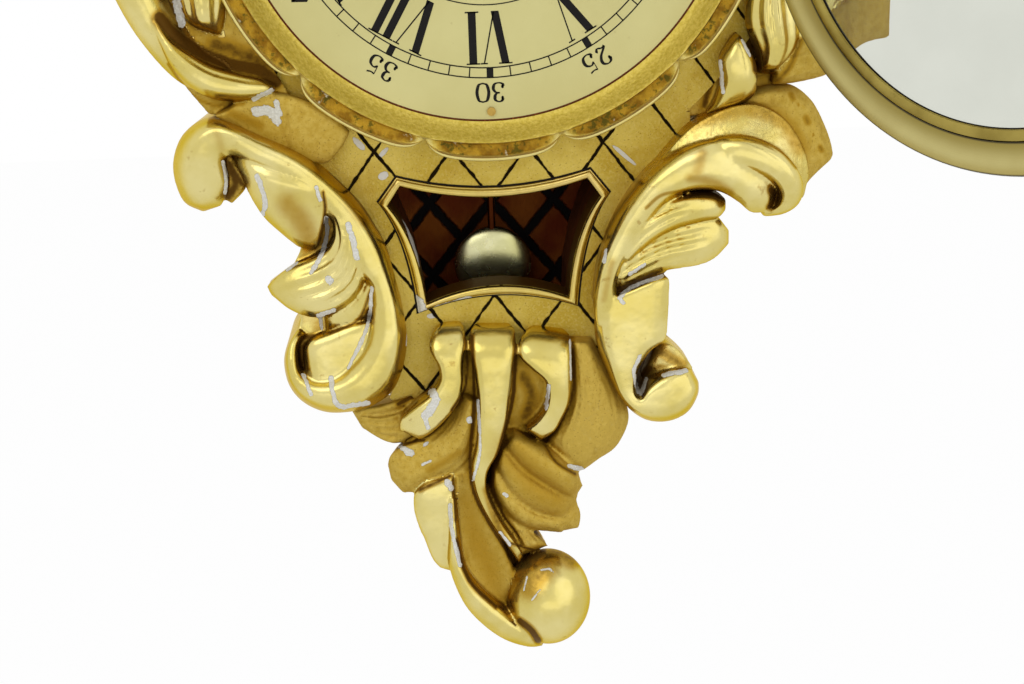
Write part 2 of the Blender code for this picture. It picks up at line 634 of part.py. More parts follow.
def lobe(points, floor):
    """A carved leaf: rounded sections along a smooth spine, with a flat back."""
    rows = spline(points)
    work = bmesh.new()
    sections = []
    for i, (x, z, half, rise) in enumerate(rows):
        before = rows[max(i - 1, 0)]
        after = rows[min(i + 1, len(rows) - 1)]
        side = Vector((before[1] - after[1], after[0] - before[0])).normalized()
        shape = [(share * half, up * rise) for share, up in LOBE_SECTION]
        back = floor * (1 - (1 - TIP_FLOOR) * (i / (len(rows) - 1)) ** 1.5)
        shape = [(-BACK_WIDTH * half, -back), *shape, (BACK_WIDTH * half, -back)]
        ring = []
        for across, rise_here in shape:
            place = (x + side.x * across, z + side.y * across)
            right, up = site(*place)
            ring.append(work.verts.new((right, -PANEL_FRONT - rise_here * UNIT, up)))
        sections.append(ring)
    for first, second in zip(sections, sections[1:]):
        for i in range(len(first)):
            j = (i + 1) % len(first)
            work.faces.new((first[i], first[j], second[j], second[i]))
    work.faces.new(sections[0])
    work.faces.new(sections[-1])
    mesh = bpy.data.meshes.new("lobe")
    work.to_mesh(mesh)
    work.free()
    return tidy(mesh)


def ball(x, z, radius, rise):
    work = bmesh.new()
    bmesh.ops.create_uvsphere(work, u_segments=16, v_segments=9, radius=radius * UNIT)
    right, up = site(x, z)
    bmesh.ops.translate(work, vec=(right, -PANEL_FRONT - rise * UNIT, up), verts=work.verts)
    mesh = bpy.data.meshes.new("ball")
    work.to_mesh(mesh)
    work.free()
    return mesh


def seam_block(seam, side):
    """A block that fills one side of a seam: 1 for its left, -1 for its right."""
    (x, z), (dx, dz) = seam
    along = Vector((dx, dz)).normalized()
    left = Vector((-along.y, along.x)) * side
    reach = 3 * DRUM_RADIUS
    edge = Vector(site(x, z)) - left * GAP / 2
    corners = [edge - along * reach, edge + along * reach]
    corners += [corners[1] + left * reach, corners[0] + left * reach]
    return flat_solid([[tuple(c) for c in corners]], -DRUM_RADIUS, 2 * DRUM_RADIUS)


def carving(name, lobes, floor, cutters, extra=()):
    """Joins the lobes into one carving and trims it to the case and to its neighbours."""
    meshes = [lobe(points, floor - 0.6 * i) for i, points in enumerate(lobes)]
    meshes += list(extra)
    mesh = combined("UNION", meshes[0], meshes[1:])
    piece = part(name, mesh, BRIGHT_GILT)
    for cutter in cutters:
        boolean = piece.modifiers.new("trim", "BOOLEAN")
        boolean.operation = "DIFFERENCE"
        boolean.object = cutter
        boolean.solver = "MANIFOLD"


def make_carvings():
    case = helper("case_clearance", flat_solid([case_outline(-GAP)], -DRUM_RADIUS, PANEL_FRONT + GAP))
    surround = circle(SURROUND_RADIUS + GAP, sides=96)
    ring = helper("surround_clearance", flat_solid([surround], WALL_FRONT, PANEL_FRONT + DRUM_RADIUS))
    seams = {}
    for name, seam in (
        ("left_wing", LEFT_WING_SEAM),
        ("right_wing", RIGHT_WING_SEAM),
        ("left_drop", LEFT_DROP_SEAM),
        ("right_drop", RIGHT_DROP_SEAM),
    ):
        for side, word in ((1, "left"), (-1, "right")):
            seams[name, side] = helper(f"{name}_seam_{word}", seam_block(seam, side))
    cutters = [case, ring, seams["left_wing", -1], seams["left_drop", 1]]
    carving("left_scroll", LEFT_SCROLL, SCROLL_FLOOR, cutters)
    cutters = [case, ring, seams["right_wing", 1], seams["right_drop", -1]]
    carving("right_scroll", RIGHT_SCROLL, SCROLL_FLOOR, cutters)
    carving("left_wing", LEFT_WING, WING_FLOOR, [case, ring, seams["left_wing", 1]])
    carving("right_wing", RIGHT_WING, WING_FLOOR, [case, ring, seams["right_wing", -1]])
    cutters = [case, ring, seams["left_drop", -1], seams["right_drop", 1]]
    carving("drop", DROP, DROP_FLOOR, cutters, [ball(*BALL)])
    carving("crest", CREST, WING_FLOOR, [case, ring])


# Dial and hands


def make_dial():
    edge = circle(DIAL_RADIUS, sides=52)
    holes = [circle(HOUR_PIPE_RADIUS + 1 * MM, sides=16)]
    holes.append(circle(WINDING_ARBOR_RADIUS + 2 * MM, (0, -BARREL_BELOW), 16))
    holes += [circle(DIAL_PIN_RADIUS + GAP, place, 8) for place in pin_places()]
    part("dial_plate", flat_solid([edge, *holes], DIAL_BACK, DIAL_FRONT), CREAM_DIAL)
    for word, place in zip(("top", "right", "bottom", "left"), pin_places()):
        head_back = DIAL_FRONT + GAP
        shank = cylinder(place, (head_back - DIAL_PIN_LENGTH, head_back + 0.2 * MM), DIAL_PIN_RADIUS, 8)
        head = cylinder(place, (head_back, head_back + 0.8 * MM), 2 * DIAL_PIN_RADIUS, 12)
        part(f"dial_pin_{word}", combined("UNION", head, [shank]), BRASS)
    foot_half = PLATE_HALF_WIDTH - FOOT_INSET
    for word, place in corner_places(foot_half, PLATE_TOP - FOOT_DROP, PLATE_BOTTOM - FOOT_DROP):
        foot = cylinder(place, (FRONT_PLATE_FRONT + GAP, DIAL_BACK - GAP), FOOT_RADIUS, 12)
        part(f"dial_foot_{word}", foot, BRASS)


def corner_places(half, high, low):
    return (
        ("top_left", (-half, high)),
        ("top_right", (half, high)),
        ("bottom_left", (-half, -low)),
        ("bottom_right", (half, -low)),
    )


def hand_outline(length, boss, angle):
    """A boss, a slim blade, a heart near the end and a fine tip, turned clockwise by angle."""
    half = [(0, length), (0.5 * MM, 0.9 * length), (0.07 * length, 0.72 * length)]
    half += [(0.045 * length, 0.62 * length), (0.8 * MM, 0.56 * length), (1.6 * MM, 1.5 * boss)]
    half += [(boss * math.sin(a), boss * math.cos(a)) for a in (0.7, 1.3, 1.9, 2.5)]
    half.append((0, -boss))
    turn = Matrix.Rotation(-angle, 2)
    return [tuple(turn @ Vector(p)) for p in mirrored(half)]


# Wheels

# A tooth stands this many modules above the pitch circle, and its space reaches this many below.
ADDENDUM = 0.9
DEDENDUM = 1.25


def gear_outline(teeth, module, centre, angle):
    """Pointed teeth, with one tooth's tip at the given angle."""
    pitch = TURN / teeth
    root = module * (teeth / 2 - DEDENDUM)
    tip = module * (teeth / 2 + ADDENDUM)
    points = []
    for i in range(teeth):
        for radius, share in ((tip, 0), (root, 0.5)):
            a = angle + (i + share) * pitch
            points.append((centre[0] + radius * math.cos(a), centre[1] + radius * math.sin(a)))
    return points


def gear_pair(wheel_centre, wheel_teeth, pinion_centre, pinion_leaves):
    """Outlines of a wheel and the pinion that it meshes with: a tooth of the one in a space of the other."""
    between = Vector(pinion_centre) - Vector(wheel_centre)
    module = 2 * between.length / (wheel_teeth + pinion_leaves)
    angle = math.atan2(between.y, between.x)
    wheel = gear_outline(wheel_teeth, module, wheel_centre, angle)
    pinion = gear_outline(pinion_leaves, module, pinion_centre, angle + math.pi + math.pi / pinion_leaves)
    return wheel, pinion


def corner_point(a, b, from_a, from_b, side):
    """The point at the given distances from a and b, to the left (1) or right (-1) of the way from a to b."""
    a, b = Vector(a), Vector(b)
    span = (b - a).length
    along = (from_a**2 - from_b**2 + span**2) / (2 * span)
    off = math.sqrt(from_a**2 - along**2)
    way = (b - a) / span
    return tuple(a + way * along + Vector((-way.y, way.x)) * off * side)


CENTER = (0, 0)
BARREL = (0, -BARREL_BELOW)
ESCAPE = (0, ESCAPE_ABOVE)
ANCHOR = (0, ANCHOR_ABOVE)
INTERMEDIATE = corner_point(BARREL, CENTER, GREAT_SPAN, INTERMEDIATE_SPAN, 1)
THIRD = corner_point(CENTER, ESCAPE, CENTER_SPAN, THIRD_SPAN, -1)
MINUTE = (MOTION_SPAN, 0)
PINION_MARGIN = 0.6 * MM
# Depths of the wheels between the plates, counted from the back plate.
MIDDLE_DEPTH = BACK_PLATE_FRONT + PLATE_SPACING / 9
ESCAPE_DEPTH = BACK_PLATE_FRONT + PLATE_SPACING / 6
GREAT_DEPTH = BACK_PLATE_FRONT + 0.289 * PLATE_SPACING
CENTER_DEPTH = BACK_PLATE_FRONT + 5 * PLATE_SPACING / 9
THIRD_DEPTH = BACK_PLATE_FRONT + 7 * PLATE_SPACING / 9


def wheel_band(depth):
    return depth, depth + WHEEL_THICKNESS


def pinion_band(depth):
    return depth - PINION_MARGIN, depth + WHEEL_THICKNESS + PINION_MARGIN


def arbor_band():
    """From inside the back plate's hole to inside the front plate's hole."""
    return BACK_PLATE_BACK + GAP, FRONT_PLATE_FRONT - GAP


def make_train():
    great, middle_pinion = gear_pair(BARREL, GREAT_TEETH, INTERMEDIATE, PINION_LEAVES)
    middle, center_pinion = gear_pair(INTERMEDIATE, INTERMEDIATE_TEETH, CENTER, PINION_LEAVES)
    center, third_pinion = gear_pair(CENTER, CENTER_TEETH, THIRD, PINION_LEAVES)
    third, escape_pinion = gear_pair(THIRD, THIRD_TEETH, ESCAPE, PINION_LEAVES)
    plain = arbor_band()
    long = (plain[0], HAND_NUT_FRONT)
    heavy = HEAVY_ARBOR_RADIUS
    fine = ARBOR_RADIUS
    rows = (
        ("intermediate_wheel", INTERMEDIATE, plain, heavy, middle, MIDDLE_DEPTH, middle_pinion, GREAT_DEPTH),
        ("center_wheel", CENTER, long, heavy, center, CENTER_DEPTH, center_pinion, MIDDLE_DEPTH),
        ("third_wheel", THIRD, plain, fine, third, THIRD_DEPTH, third_pinion, CENTER_DEPTH),
        ("escape_wheel", ESCAPE, plain, fine, escape_outline(), ESCAPE_DEPTH, escape_pinion, THIRD_DEPTH),
    )
    for name, place, reach, radius, wheel, wheel_depth, pinion, pinion_depth in rows:
        arbor = cylinder(place, reach, radius, 12)
        wheel_solid = flat_solid([wheel], *wheel_band(wheel_depth))
        pinion_solid = flat_solid([pinion], *pinion_band(pinion_depth))
        part(name, combined("UNION", wheel_solid, [arbor, pinion_solid]), BRASS)
    make_barrel(great)


def escape_outline():
    points = []
    for i in range(ESCAPE_TEETH):
        angle = TURN * i / ESCAPE_TEETH
        for share, radius in ((0.0, 0.84 * ESCAPE_RADIUS), (0.2, ESCAPE_RADIUS)):
            a = angle + share * TURN / ESCAPE_TEETH
            points.append((ESCAPE[0] + radius * math.cos(a), ESCAPE[1] + radius * math.sin(a)))
    return points


def make_barrel(great):
    bore = WINDING_ARBOR_RADIUS + GAP
    inner = BARREL_RADIUS - BARREL_WALL
    flange = flat_solid([great, circle(bore, BARREL, 28)], GREAT_DEPTH, GREAT_DEPTH + 1.5 * WHEEL_THICKNESS)
    floor = GREAT_DEPTH + 0.5 * WHEEL_THICKNESS
    cap_back = FRONT_PLATE_BACK - 3 * MM
    lip = cap_back - GAP
    profile = [(bore, floor), (BARREL_RADIUS, floor), (BARREL_RADIUS, lip), (inner, lip)]
    profile += [(inner, floor + 2 * BARREL_WALL), (bore, floor + 2 * BARREL_WALL)]
    cup = turned(profile, 28)
    cup.transform(Matrix.Translation((BARREL[0], 0, BARREL[1])))
    part("barrel_drum", combined("UNION", flange, [cup]), BRASS)
    cap = [circle(BARREL_RADIUS, BARREL, 28), circle(bore, BARREL, 16)]
    part("barrel_cap", flat_solid(cap, cap_back, cap_back + BARREL_WALL), BRASS)
    spring_back = floor + 2 * BARREL_WALL + GAP
    part("mainspring", flat_solid([spring_outline(inner)], spring_back, lip - GAP), STEEL)


def spring_outline(inner):
    """A coiled ribbon from the arbor to the barrel's wall."""
    turns, ribbon, points_per_turn = 4, 0.9 * MM, 10
    first = WINDING_ARBOR_RADIUS + GAP + ribbon
    last = inner - GAP
    count = int(turns * points_per_turn)
    out, back = [], []
    for i in range(count + 1):
        angle = TURN * i / points_per_turn
        radius = first + (last - first) * i / count
        for side, points in ((0, out), (-ribbon, back)):
            reach = radius + side
            points.append((BARREL[0] + reach * math.cos(angle), BARREL[1] + reach * math.sin(angle)))
    return out + back[::-1]


def make_winding():
    reach = (BACK_PLATE_BACK + GAP, DIAL_BACK - 1 * MM)
    part("winding_arbor", cylinder(BARREL, reach, WINDING_ARBOR_RADIUS, 16), STEEL)
    ratchet_back = FRONT_PLATE_FRONT + GAP
    band = (ratchet_back, ratchet_back + WHEEL_THICKNESS)
    teeth = []
    for i in range(RATCHET_TEETH):
        for share, radius in ((0.0, 0.86 * RATCHET_RADIUS), (0.86, RATCHET_RADIUS)):
            a = TURN * (i + share) / RATCHET_TEETH
            teeth.append((BARREL[0] + radius * math.cos(a), BARREL[1] + radius * math.sin(a)))
    bore = circle(WINDING_ARBOR_RADIUS + GAP, BARREL, 16)
    part("ratchet_wheel", flat_solid([teeth, bore], *band), STEEL)
    part("click", flat_solid([click_outline()], *band), STEEL)


def click_outline():
    """A pawl whose tip stands just clear of the ratchet teeth; its pivot is above and right of the wheel."""
    pivot = Vector(CLICK_PIVOT)
    to_wheel = (Vector(BARREL) - pivot).normalized()
    across = Vector((-to_wheel.y, to_wheel.x))
    length = (Vector(BARREL) - pivot).length - RATCHET_RADIUS - GAP
    boss = 2.4 * MM
    points = [pivot - to_wheel * boss - across * boss, pivot + across * boss - to_wheel * boss]
    points += [pivot + across * boss + to_wheel * boss, pivot + to_wheel * length + across * 0.5 * MM]
    points += [pivot + to_wheel * length - across * 0.5 * MM, pivot - across * boss + to_wheel * boss]
    return [tuple(p) for p in points]


CLICK_PIVOT = (BARREL[0] + RATCHET_RADIUS + 3 * MM, BARREL[1] + RATCHET_RADIUS + 1 * MM)


def make_plates():
    arbors = [(place, HEAVY_ARBOR_RADIUS) for place in (CENTER, INTERMEDIATE, ANCHOR)]
    arbors += [(place, ARBOR_RADIUS) for place in (THIRD, ESCAPE)]
    arbors.append((BARREL, WINDING_ARBOR_RADIUS))
    edge = rounded_rectangle(-PLATE_HALF_WIDTH, PLATE_HALF_WIDTH, -PLATE_BOTTOM, PLATE_TOP, PLATE_CORNER)
    holes = [circle(radius + GAP, place, 10) for place, radius in arbors]
    part("front_plate", flat_solid([edge, *holes], FRONT_PLATE_BACK, FRONT_PLATE_FRONT), BRASS)
    part("back_plate", flat_solid([edge, *holes], BACK_PLATE_BACK, BACK_PLATE_FRONT), BRASS)
    inset = PILLAR_RADIUS + 2 * MM
    for word, place in corner_places(PLATE_HALF_WIDTH - inset, PLATE_TOP - inset, PLATE_BOTTOM - inset):
        pillar = cylinder(place, (BACK_PLATE_FRONT + GAP, FRONT_PLATE_BACK - GAP), PILLAR_RADIUS, 14)
        part(f"pillar_{word}", pillar, BRASS)


# Motion work: it carries the hands in front of the front plate

CANNON_DEPTH = FRONT_PLATE_FRONT + 1.4 * MM
HOUR_DEPTH = CANNON_DEPTH + 3 * MM
HOUR_HAND_DEPTH = DIAL_FRONT + 2.2 * MM
MINUTE_HAND_DEPTH = HOUR_HAND_DEPTH + HAND_THICKNESS + 2 * MM
HAND_NUT_BACK = MINUTE_HAND_DEPTH + HAND_THICKNESS + GAP
HAND_NUT_FRONT = HAND_NUT_BACK + 2 * MM


def tube(place, depths, inner, outer, sides=20):
    return flat_solid([circle(outer, place, sides), circle(inner, place, sides)], *depths)


def make_motion_work():
    minute, cannon = gear_pair(MINUTE, MINUTE_TEETH, CENTER, CANNON_TEETH)
    hour, minute_pinion = gear_pair(CENTER, HOUR_TEETH, MINUTE, MINUTE_PINION)
    bore = circle(HEAVY_ARBOR_RADIUS + GAP, CENTER, 20)
    cannon_leaves = flat_solid([cannon, bore], *pinion_band(CANNON_DEPTH))
    pipe_reach = (CANNON_DEPTH, MINUTE_HAND_DEPTH + HAND_THICKNESS)
    pipe = tube(CENTER, pipe_reach, HEAVY_ARBOR_RADIUS + GAP, CANNON_RADIUS)
    part("cannon_pinion", combined("UNION", cannon_leaves, [pipe]), BRASS)
    stud_bore = circle(HEAVY_ARBOR_RADIUS + GAP, MINUTE, 14)
    minute_solid = flat_solid([minute, stud_bore], *wheel_band(CANNON_DEPTH))
    pinion_reach = (CANNON_DEPTH + 0.5 * WHEEL_THICKNESS, HOUR_DEPTH + WHEEL_THICKNESS + PINION_MARGIN)
    pinion_solid = flat_solid([minute_pinion, stud_bore], *pinion_reach)
    part("minute_wheel", combined("UNION", minute_solid, [pinion_solid]), BRASS)
    stud = cylinder(MINUTE, (FRONT_PLATE_FRONT + GAP, pinion_reach[1] + 0.4 * MM), HEAVY_ARBOR_RADIUS, 12)
    part("minute_wheel_stud", stud, STEEL)
    hour_bore = CANNON_RADIUS + GAP
    hour_solid = flat_solid([hour, circle(hour_bore, CENTER, 20)], *wheel_band(HOUR_DEPTH))
    hour_pipe = tube(CENTER, (HOUR_DEPTH, HOUR_HAND_DEPTH + HAND_THICKNESS), hour_bore, HOUR_PIPE_RADIUS)
    part("hour_wheel", combined("UNION", hour_solid, [hour_pipe]), BRASS)


def make_hands():
    hour_boss = 3 * HOUR_PIPE_RADIUS / 2
    hour_bore = circle(HOUR_PIPE_RADIUS + GAP, sides=20)
    hour = [hand_outline(HOUR_HAND_LENGTH, hour_boss, HOUR_HAND_ANGLE), hour_bore]
    part("hour_hand", flat_solid(hour, HOUR_HAND_DEPTH, HOUR_HAND_DEPTH + HAND_THICKNESS), BLACK_STEEL)
    minute_boss = 2 * CANNON_RADIUS
    minute_bore = circle(CANNON_RADIUS + GAP, sides=20)
    minute = [hand_outline(MINUTE_HAND_LENGTH, minute_boss, MINUTE_HAND_ANGLE), minute_bore]
    minute_front = MINUTE_HAND_DEPTH + HAND_THICKNESS
    part("minute_hand", flat_solid(minute, MINUTE_HAND_DEPTH, minute_front), BLACK_STEEL)
    nut = tube(CENTER, (HAND_NUT_BACK, HAND_NUT_FRONT), HEAVY_ARBOR_RADIUS + GAP, 1.5 * CANNON_RADIUS)
    part("hand_nut", nut, BRASS)


# Escapement and pendulum

CRUTCH_BACK = BACK_PLATE_BACK - 5.4 * MM
CRUTCH_FRONT = CRUTCH_BACK + 1.5 * MM
CRUTCH_LENGTH = 38 * MM


def make_anchor():
    """Arbor, pallets just clear of the escape wheel, and the crutch that holds the pendulum rod."""
    arm = ESCAPE_RADIUS
    drop = ANCHOR_ABOVE - ESCAPE_ABOVE
    half = [(0, 0.18 * drop), (0.27 * arm, 0.13 * drop), (arm, -0.3 * drop), (0.96 * arm, -0.47 * drop)]
    half += [(0.8 * arm, -0.386 * drop), (0.27 * arm, -0.124 * drop), (0, -0.18 * drop)]
    outline = [(x + ANCHOR[0], z + ANCHOR[1]) for x, z in mirrored(half)]
    pallets = flat_solid([outline], *wheel_band(ESCAPE_DEPTH))
    arbor = cylinder(ANCHOR, (CRUTCH_BACK, FRONT_PLATE_FRONT - GAP), HEAVY_ARBOR_RADIUS, 12)
    low = ANCHOR_ABOVE - CRUTCH_LENGTH
    band = (CRUTCH_BACK, CRUTCH_FRONT)
    stem = block((-1.5 * MM, 1.5 * MM), band, (low + 1 * MM, ANCHOR_ABOVE + 2 * MM))
    inside = ROD_RADIUS + GAP
    outside = inside + 1.6 * MM
    yoke = block((-outside, outside), band, (low, low + 4 * MM))
    prong_back = PENDULUM_DEPTH - ROD_RADIUS - 1 * MM
    prongs = []
    for x in ((-outside, -inside), (inside, outside)):
        prongs.append(block(x, (prong_back, CRUTCH_FRONT - 0.5 * MM), (low + 0.4 * MM, low + 3.6 * MM)))
    part("anchor_and_crutch", combined("UNION", arbor, [pallets, stem, yoke, *prongs]), STEEL)


def make_suspension():
    """The cock on the back plate, and the spring strip that hangs from it."""
    base = ANCHOR_ABOVE + 4 * MM
    top = base + 8 * MM
    half = 6 * MM
    front = BACK_PLATE_BACK - GAP
    back = PENDULUM_DEPTH - SPRING_WIDTH / 2 - 1.5 * MM
    arm = block((-half, half), (back, front), (base, top))
    jaw_front = PENDULUM_DEPTH + SPRING_WIDTH / 2 + 0.8 * MM
    jaw = block((-0.6 * half, 0.6 * half), (back + 0.4 * MM, jaw_front), (ANCHOR_ABOVE + GAP, base + 2 * MM))
    part("suspension_cock", combined("UNION", arm, [jaw]), BRASS)
    across = (PENDULUM_DEPTH - SPRING_WIDTH / 2, PENDULUM_DEPTH + SPRING_WIDTH / 2)
    strip_half = SPRING_THICKNESS / 2
    strip = block((-strip_half, strip_half), across, (ANCHOR_ABOVE - SPRING_LENGTH, ANCHOR_ABOVE))
    part("suspension_spring", strip, STEEL)


def make_pendulum():
    rod_top = ANCHOR_ABOVE - SPRING_LENGTH - GAP
    bob_height = -BOB_BELOW
    nut_top = bob_height - BOB_RADIUS - GAP
    rod_foot = -ROD_REACH
    rod = upright(0, PENDULUM_DEPTH, (rod_foot, rod_top), ROD_RADIUS, 12)
    part("pendulum_rod", rod, BRASS)
    edge = 0.12 * BOB_THICKNESS
    rows = [(0, -BOB_THICKNESS / 2), (0.55 * BOB_RADIUS, -0.4 * BOB_THICKNESS), (BOB_RADIUS, -edge)]
    rows += [(BOB_RADIUS, edge), (0.55 * BOB_RADIUS, 0.4 * BOB_THICKNESS), (0, BOB_THICKNESS / 2)]
    bob = turned(rows, 32)
    bob.transform(Matrix.Translation((0, -PENDULUM_DEPTH, bob_height)))
    bore_reach = BOB_RADIUS + 2 * MM
    heights = (bob_height - bore_reach, bob_height + bore_reach)
    bore = upright(0, PENDULUM_DEPTH, heights, ROD_RADIUS + GAP, 12)
    part("pendulum_bob", combined("DIFFERENCE", bob, [bore]), BRASS)
    inner = ROD_RADIUS + GAP
    foot = nut_top - NUT_HEIGHT
    nut = turned([(inner, nut_top), (NUT_RADIUS, nut_top), (NUT_RADIUS, foot), (inner, foot)], 16, "Z")
    nut.transform(Matrix.Translation((0, -PENDULUM_DEPTH, 0)))
    part("rating_nut", nut, BRASS)


# Door: made closed in the frame of an empty on the hinge axis, and opened by turning that empty


def make_door():
    hinge = bpy.data.objects.new("door_hinge", None)
    PARTS.objects.link(hinge)
    hinge.location = (HINGE_X, -HINGE_DEPTH, 0)
    hinge.rotation_euler = (0, 0, DOOR_OPEN_ANGLE)
    to_hinge = Matrix.Translation((-HINGE_X, HINGE_DEPTH, 0))
    rebate_radius = DOOR_SIGHT_RADIUS + REBATE_WIDTH
    rebate_depth = DOOR_BACK + GLASS_THICKNESS + 3 * GAP
    crest_radius = (DOOR_RADIUS + DOOR_SIGHT_RADIUS) / 2
    edge = DOOR_BACK + 0.7 * DOOR_THICKNESS
    profile = [(rebate_radius, DOOR_BACK), (DOOR_RADIUS, DOOR_BACK), (DOOR_RADIUS, edge)]
    profile += [(crest_radius, DOOR_FRONT), (DOOR_SIGHT_RADIUS, edge)]
    profile += [(DOOR_SIGHT_RADIUS, rebate_depth), (rebate_radius, rebate_depth)]
    glass_radius = rebate_radius - GAP
    glass_front = rebate_depth - GAP
    glass_back = glass_front - GLASS_THICKNESS
    glass = flat_solid([circle(glass_radius, sides=48)], glass_back, glass_front)
    ring_edges = [circle(glass_radius, sides=48), circle(DOOR_SIGHT_RADIUS - 0.5 * MM, sides=48)]
    retainer = flat_solid(ring_edges, glass_back - GAP - 1 * MM, glass_back - GAP)
    middle = HINGE_LENGTH * 0.19
    leaf_depths = (DOOR_FRONT + GAP, DOOR_FRONT + GAP + LEAF_THICKNESS)
    leaf = block((crest_radius, HINGE_X - HINGE_PIN_RADIUS - GAP), leaf_depths, (-middle, middle))
    leaf = combined("UNION", leaf, [upright(HINGE_X, HINGE_DEPTH, (-middle, middle), KNUCKLE_RADIUS, 20)])
    bore = upright(HINGE_X, HINGE_DEPTH, (-HINGE_LENGTH, HINGE_LENGTH), HINGE_PIN_RADIUS + GAP, 16)
    leaf = combined("DIFFERENCE", leaf, [bore])
    rows = ((0, 0.3), (2, 0.3), (1.6, 3), (3.6, 4.4), (3.6, 5.6), (2, 7), (0, 7.3))
    knob = turned([(radius * MM, DOOR_FRONT + along * MM) for radius, along in rows], 20)
    knob.transform(Matrix.Translation((-crest_radius, 0, 0)))
    rows = (
        ("door_bezel", turned(profile, 48), BRASS),
        ("door_glass", glass, GLASS),
        ("glass_retainer", retainer, BRASS),
        ("hinge_leaf_door", leaf, BRASS),
        ("door_knob", knob, BRASS),
    )
    for name, mesh, material in rows:
        mesh.transform(to_hinge)
        part(name, mesh, material, hinge)
    make_case_hinge(bore, middle + GAP)


def make_case_hinge(bore, middle):
    """The leaf that stands on the front panel, with a knuckle above and below the door's."""
    half = HINGE_LENGTH / 2
    foot_back = PANEL_FRONT + GAP
    wall = SURROUND_RADIUS + 1 * MM
    wall_band = (wall, wall + LEAF_THICKNESS)
    foot = block((wall, DRUM_RADIUS - 1 * MM), (foot_back, foot_back + LEAF_THICKNESS), (-half, half))
    reach = (HINGE_DEPTH - LEAF_THICKNESS / 2, HINGE_DEPTH + LEAF_THICKNESS / 2)
    stand = block(wall_band, (foot_back + 0.4 * MM, reach[1]), (-half + 0.4 * MM, half - 0.4 * MM))
    pieces = [stand]
    for low, high in ((-half, -middle), (middle, half)):
        pieces.append(block((HINGE_X, wall + 1 * MM), reach, (low + 0.2 * MM, high - 0.2 * MM)))
        pieces.append(upright(HINGE_X, HINGE_DEPTH, (low, high), KNUCKLE_RADIUS, 20))
    leaf = combined("UNION", foot, pieces)
    part("hinge_leaf_case", combined("DIFFERENCE", leaf, [bore]), BRASS)
    pin = upright(HINGE_X, HINGE_DEPTH, (-half - 1 * MM, half + 1 * MM), HINGE_PIN_RADIUS, 12)
    part("hinge_pin", pin, STEEL)


make_case()
make_hanger()
make_surround()
make_carvings()
make_dial()
make_plates()
make_train()
make_winding()
make_motion_work()
make_hands()
make_anchor()
make_suspension()
make_pendulum()
make_door()
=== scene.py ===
# %% [markdown]
# # A giltwood wall clock
# The solid model of this clock was made elsewhere. Here it gets its looks. Most of the clock is carved
# wood under gold leaf, so most of this lesson is about carving and gilding. Each piece that is made
# here then rides on one of their bodies.

# %% Load the solids
import math

import bpy
import numpy as np
from mathutils import Matrix, Vector
from mathutils.bvhtree import BVHTree
from mathutils.kdtree import KDTree


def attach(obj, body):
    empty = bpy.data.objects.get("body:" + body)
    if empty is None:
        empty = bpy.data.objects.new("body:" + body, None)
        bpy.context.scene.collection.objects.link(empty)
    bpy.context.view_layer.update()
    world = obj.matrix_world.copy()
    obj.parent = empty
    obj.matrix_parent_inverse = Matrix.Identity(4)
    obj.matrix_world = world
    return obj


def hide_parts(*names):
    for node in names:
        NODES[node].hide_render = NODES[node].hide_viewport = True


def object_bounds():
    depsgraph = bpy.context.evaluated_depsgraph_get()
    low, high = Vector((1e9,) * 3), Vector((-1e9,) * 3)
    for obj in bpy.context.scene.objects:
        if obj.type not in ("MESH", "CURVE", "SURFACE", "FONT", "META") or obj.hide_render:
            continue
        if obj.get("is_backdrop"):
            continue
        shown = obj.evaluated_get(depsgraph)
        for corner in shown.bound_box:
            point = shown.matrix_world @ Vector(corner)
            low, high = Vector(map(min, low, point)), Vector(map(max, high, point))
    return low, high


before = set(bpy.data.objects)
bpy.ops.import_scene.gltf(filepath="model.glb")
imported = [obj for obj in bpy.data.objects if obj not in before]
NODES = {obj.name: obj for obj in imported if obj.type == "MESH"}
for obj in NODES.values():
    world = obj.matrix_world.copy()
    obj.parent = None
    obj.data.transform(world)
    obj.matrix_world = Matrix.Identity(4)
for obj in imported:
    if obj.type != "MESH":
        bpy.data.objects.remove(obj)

CAD_BOX = [[float(v) for v in corner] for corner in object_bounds()]
print("solids:", len(NODES), "box:", np.round(CAD_BOX, 3).tolist())

# %% [markdown]
# ## The camera
# The photograph looks down on the lower half of the clock, a little from the left.
# A camera can be turned by angles, but three directions of its own are easier to check: right, up and back.
# The same numbers tell where a point of the picture lies on the clock, so carving can be drawn on the picture.

# %% Place the camera
EYE = np.array((-0.0255, -0.7055, 0.028))
RIGHT = np.array((0.99782, -0.05846, -0.03061))
UP = np.array((0.04793, 0.32314, 0.94514))
BACK = np.array((-0.04536, -0.94455, 0.32523))
FOCUS = 1600.0
PICTURE_WIDTH = 1024
MIDDLE = (512, 342)
SENSOR_WIDTH = 36
PANEL_FRONT = 0.062
MM_PER_M = 1000


def linked(name, data):
    """A new object in the scene."""
    made = bpy.data.objects.new(name, data)
    bpy.context.scene.collection.objects.link(made)
    return made


camera = linked("camera", bpy.data.cameras.new("camera"))
camera.data.sensor_width = SENSOR_WIDTH
camera.data.lens = SENSOR_WIDTH * FOCUS / PICTURE_WIDTH
camera.matrix_world = Matrix([[*row] for row in zip(RIGHT, UP, BACK, EYE)] + [[0, 0, 0, 1]])
bpy.context.scene.camera = camera


def alike(*values):
    """Numbers and arrays, brought to one shape."""
    return np.broadcast_arrays(*(np.asarray(value, float) for value in values))


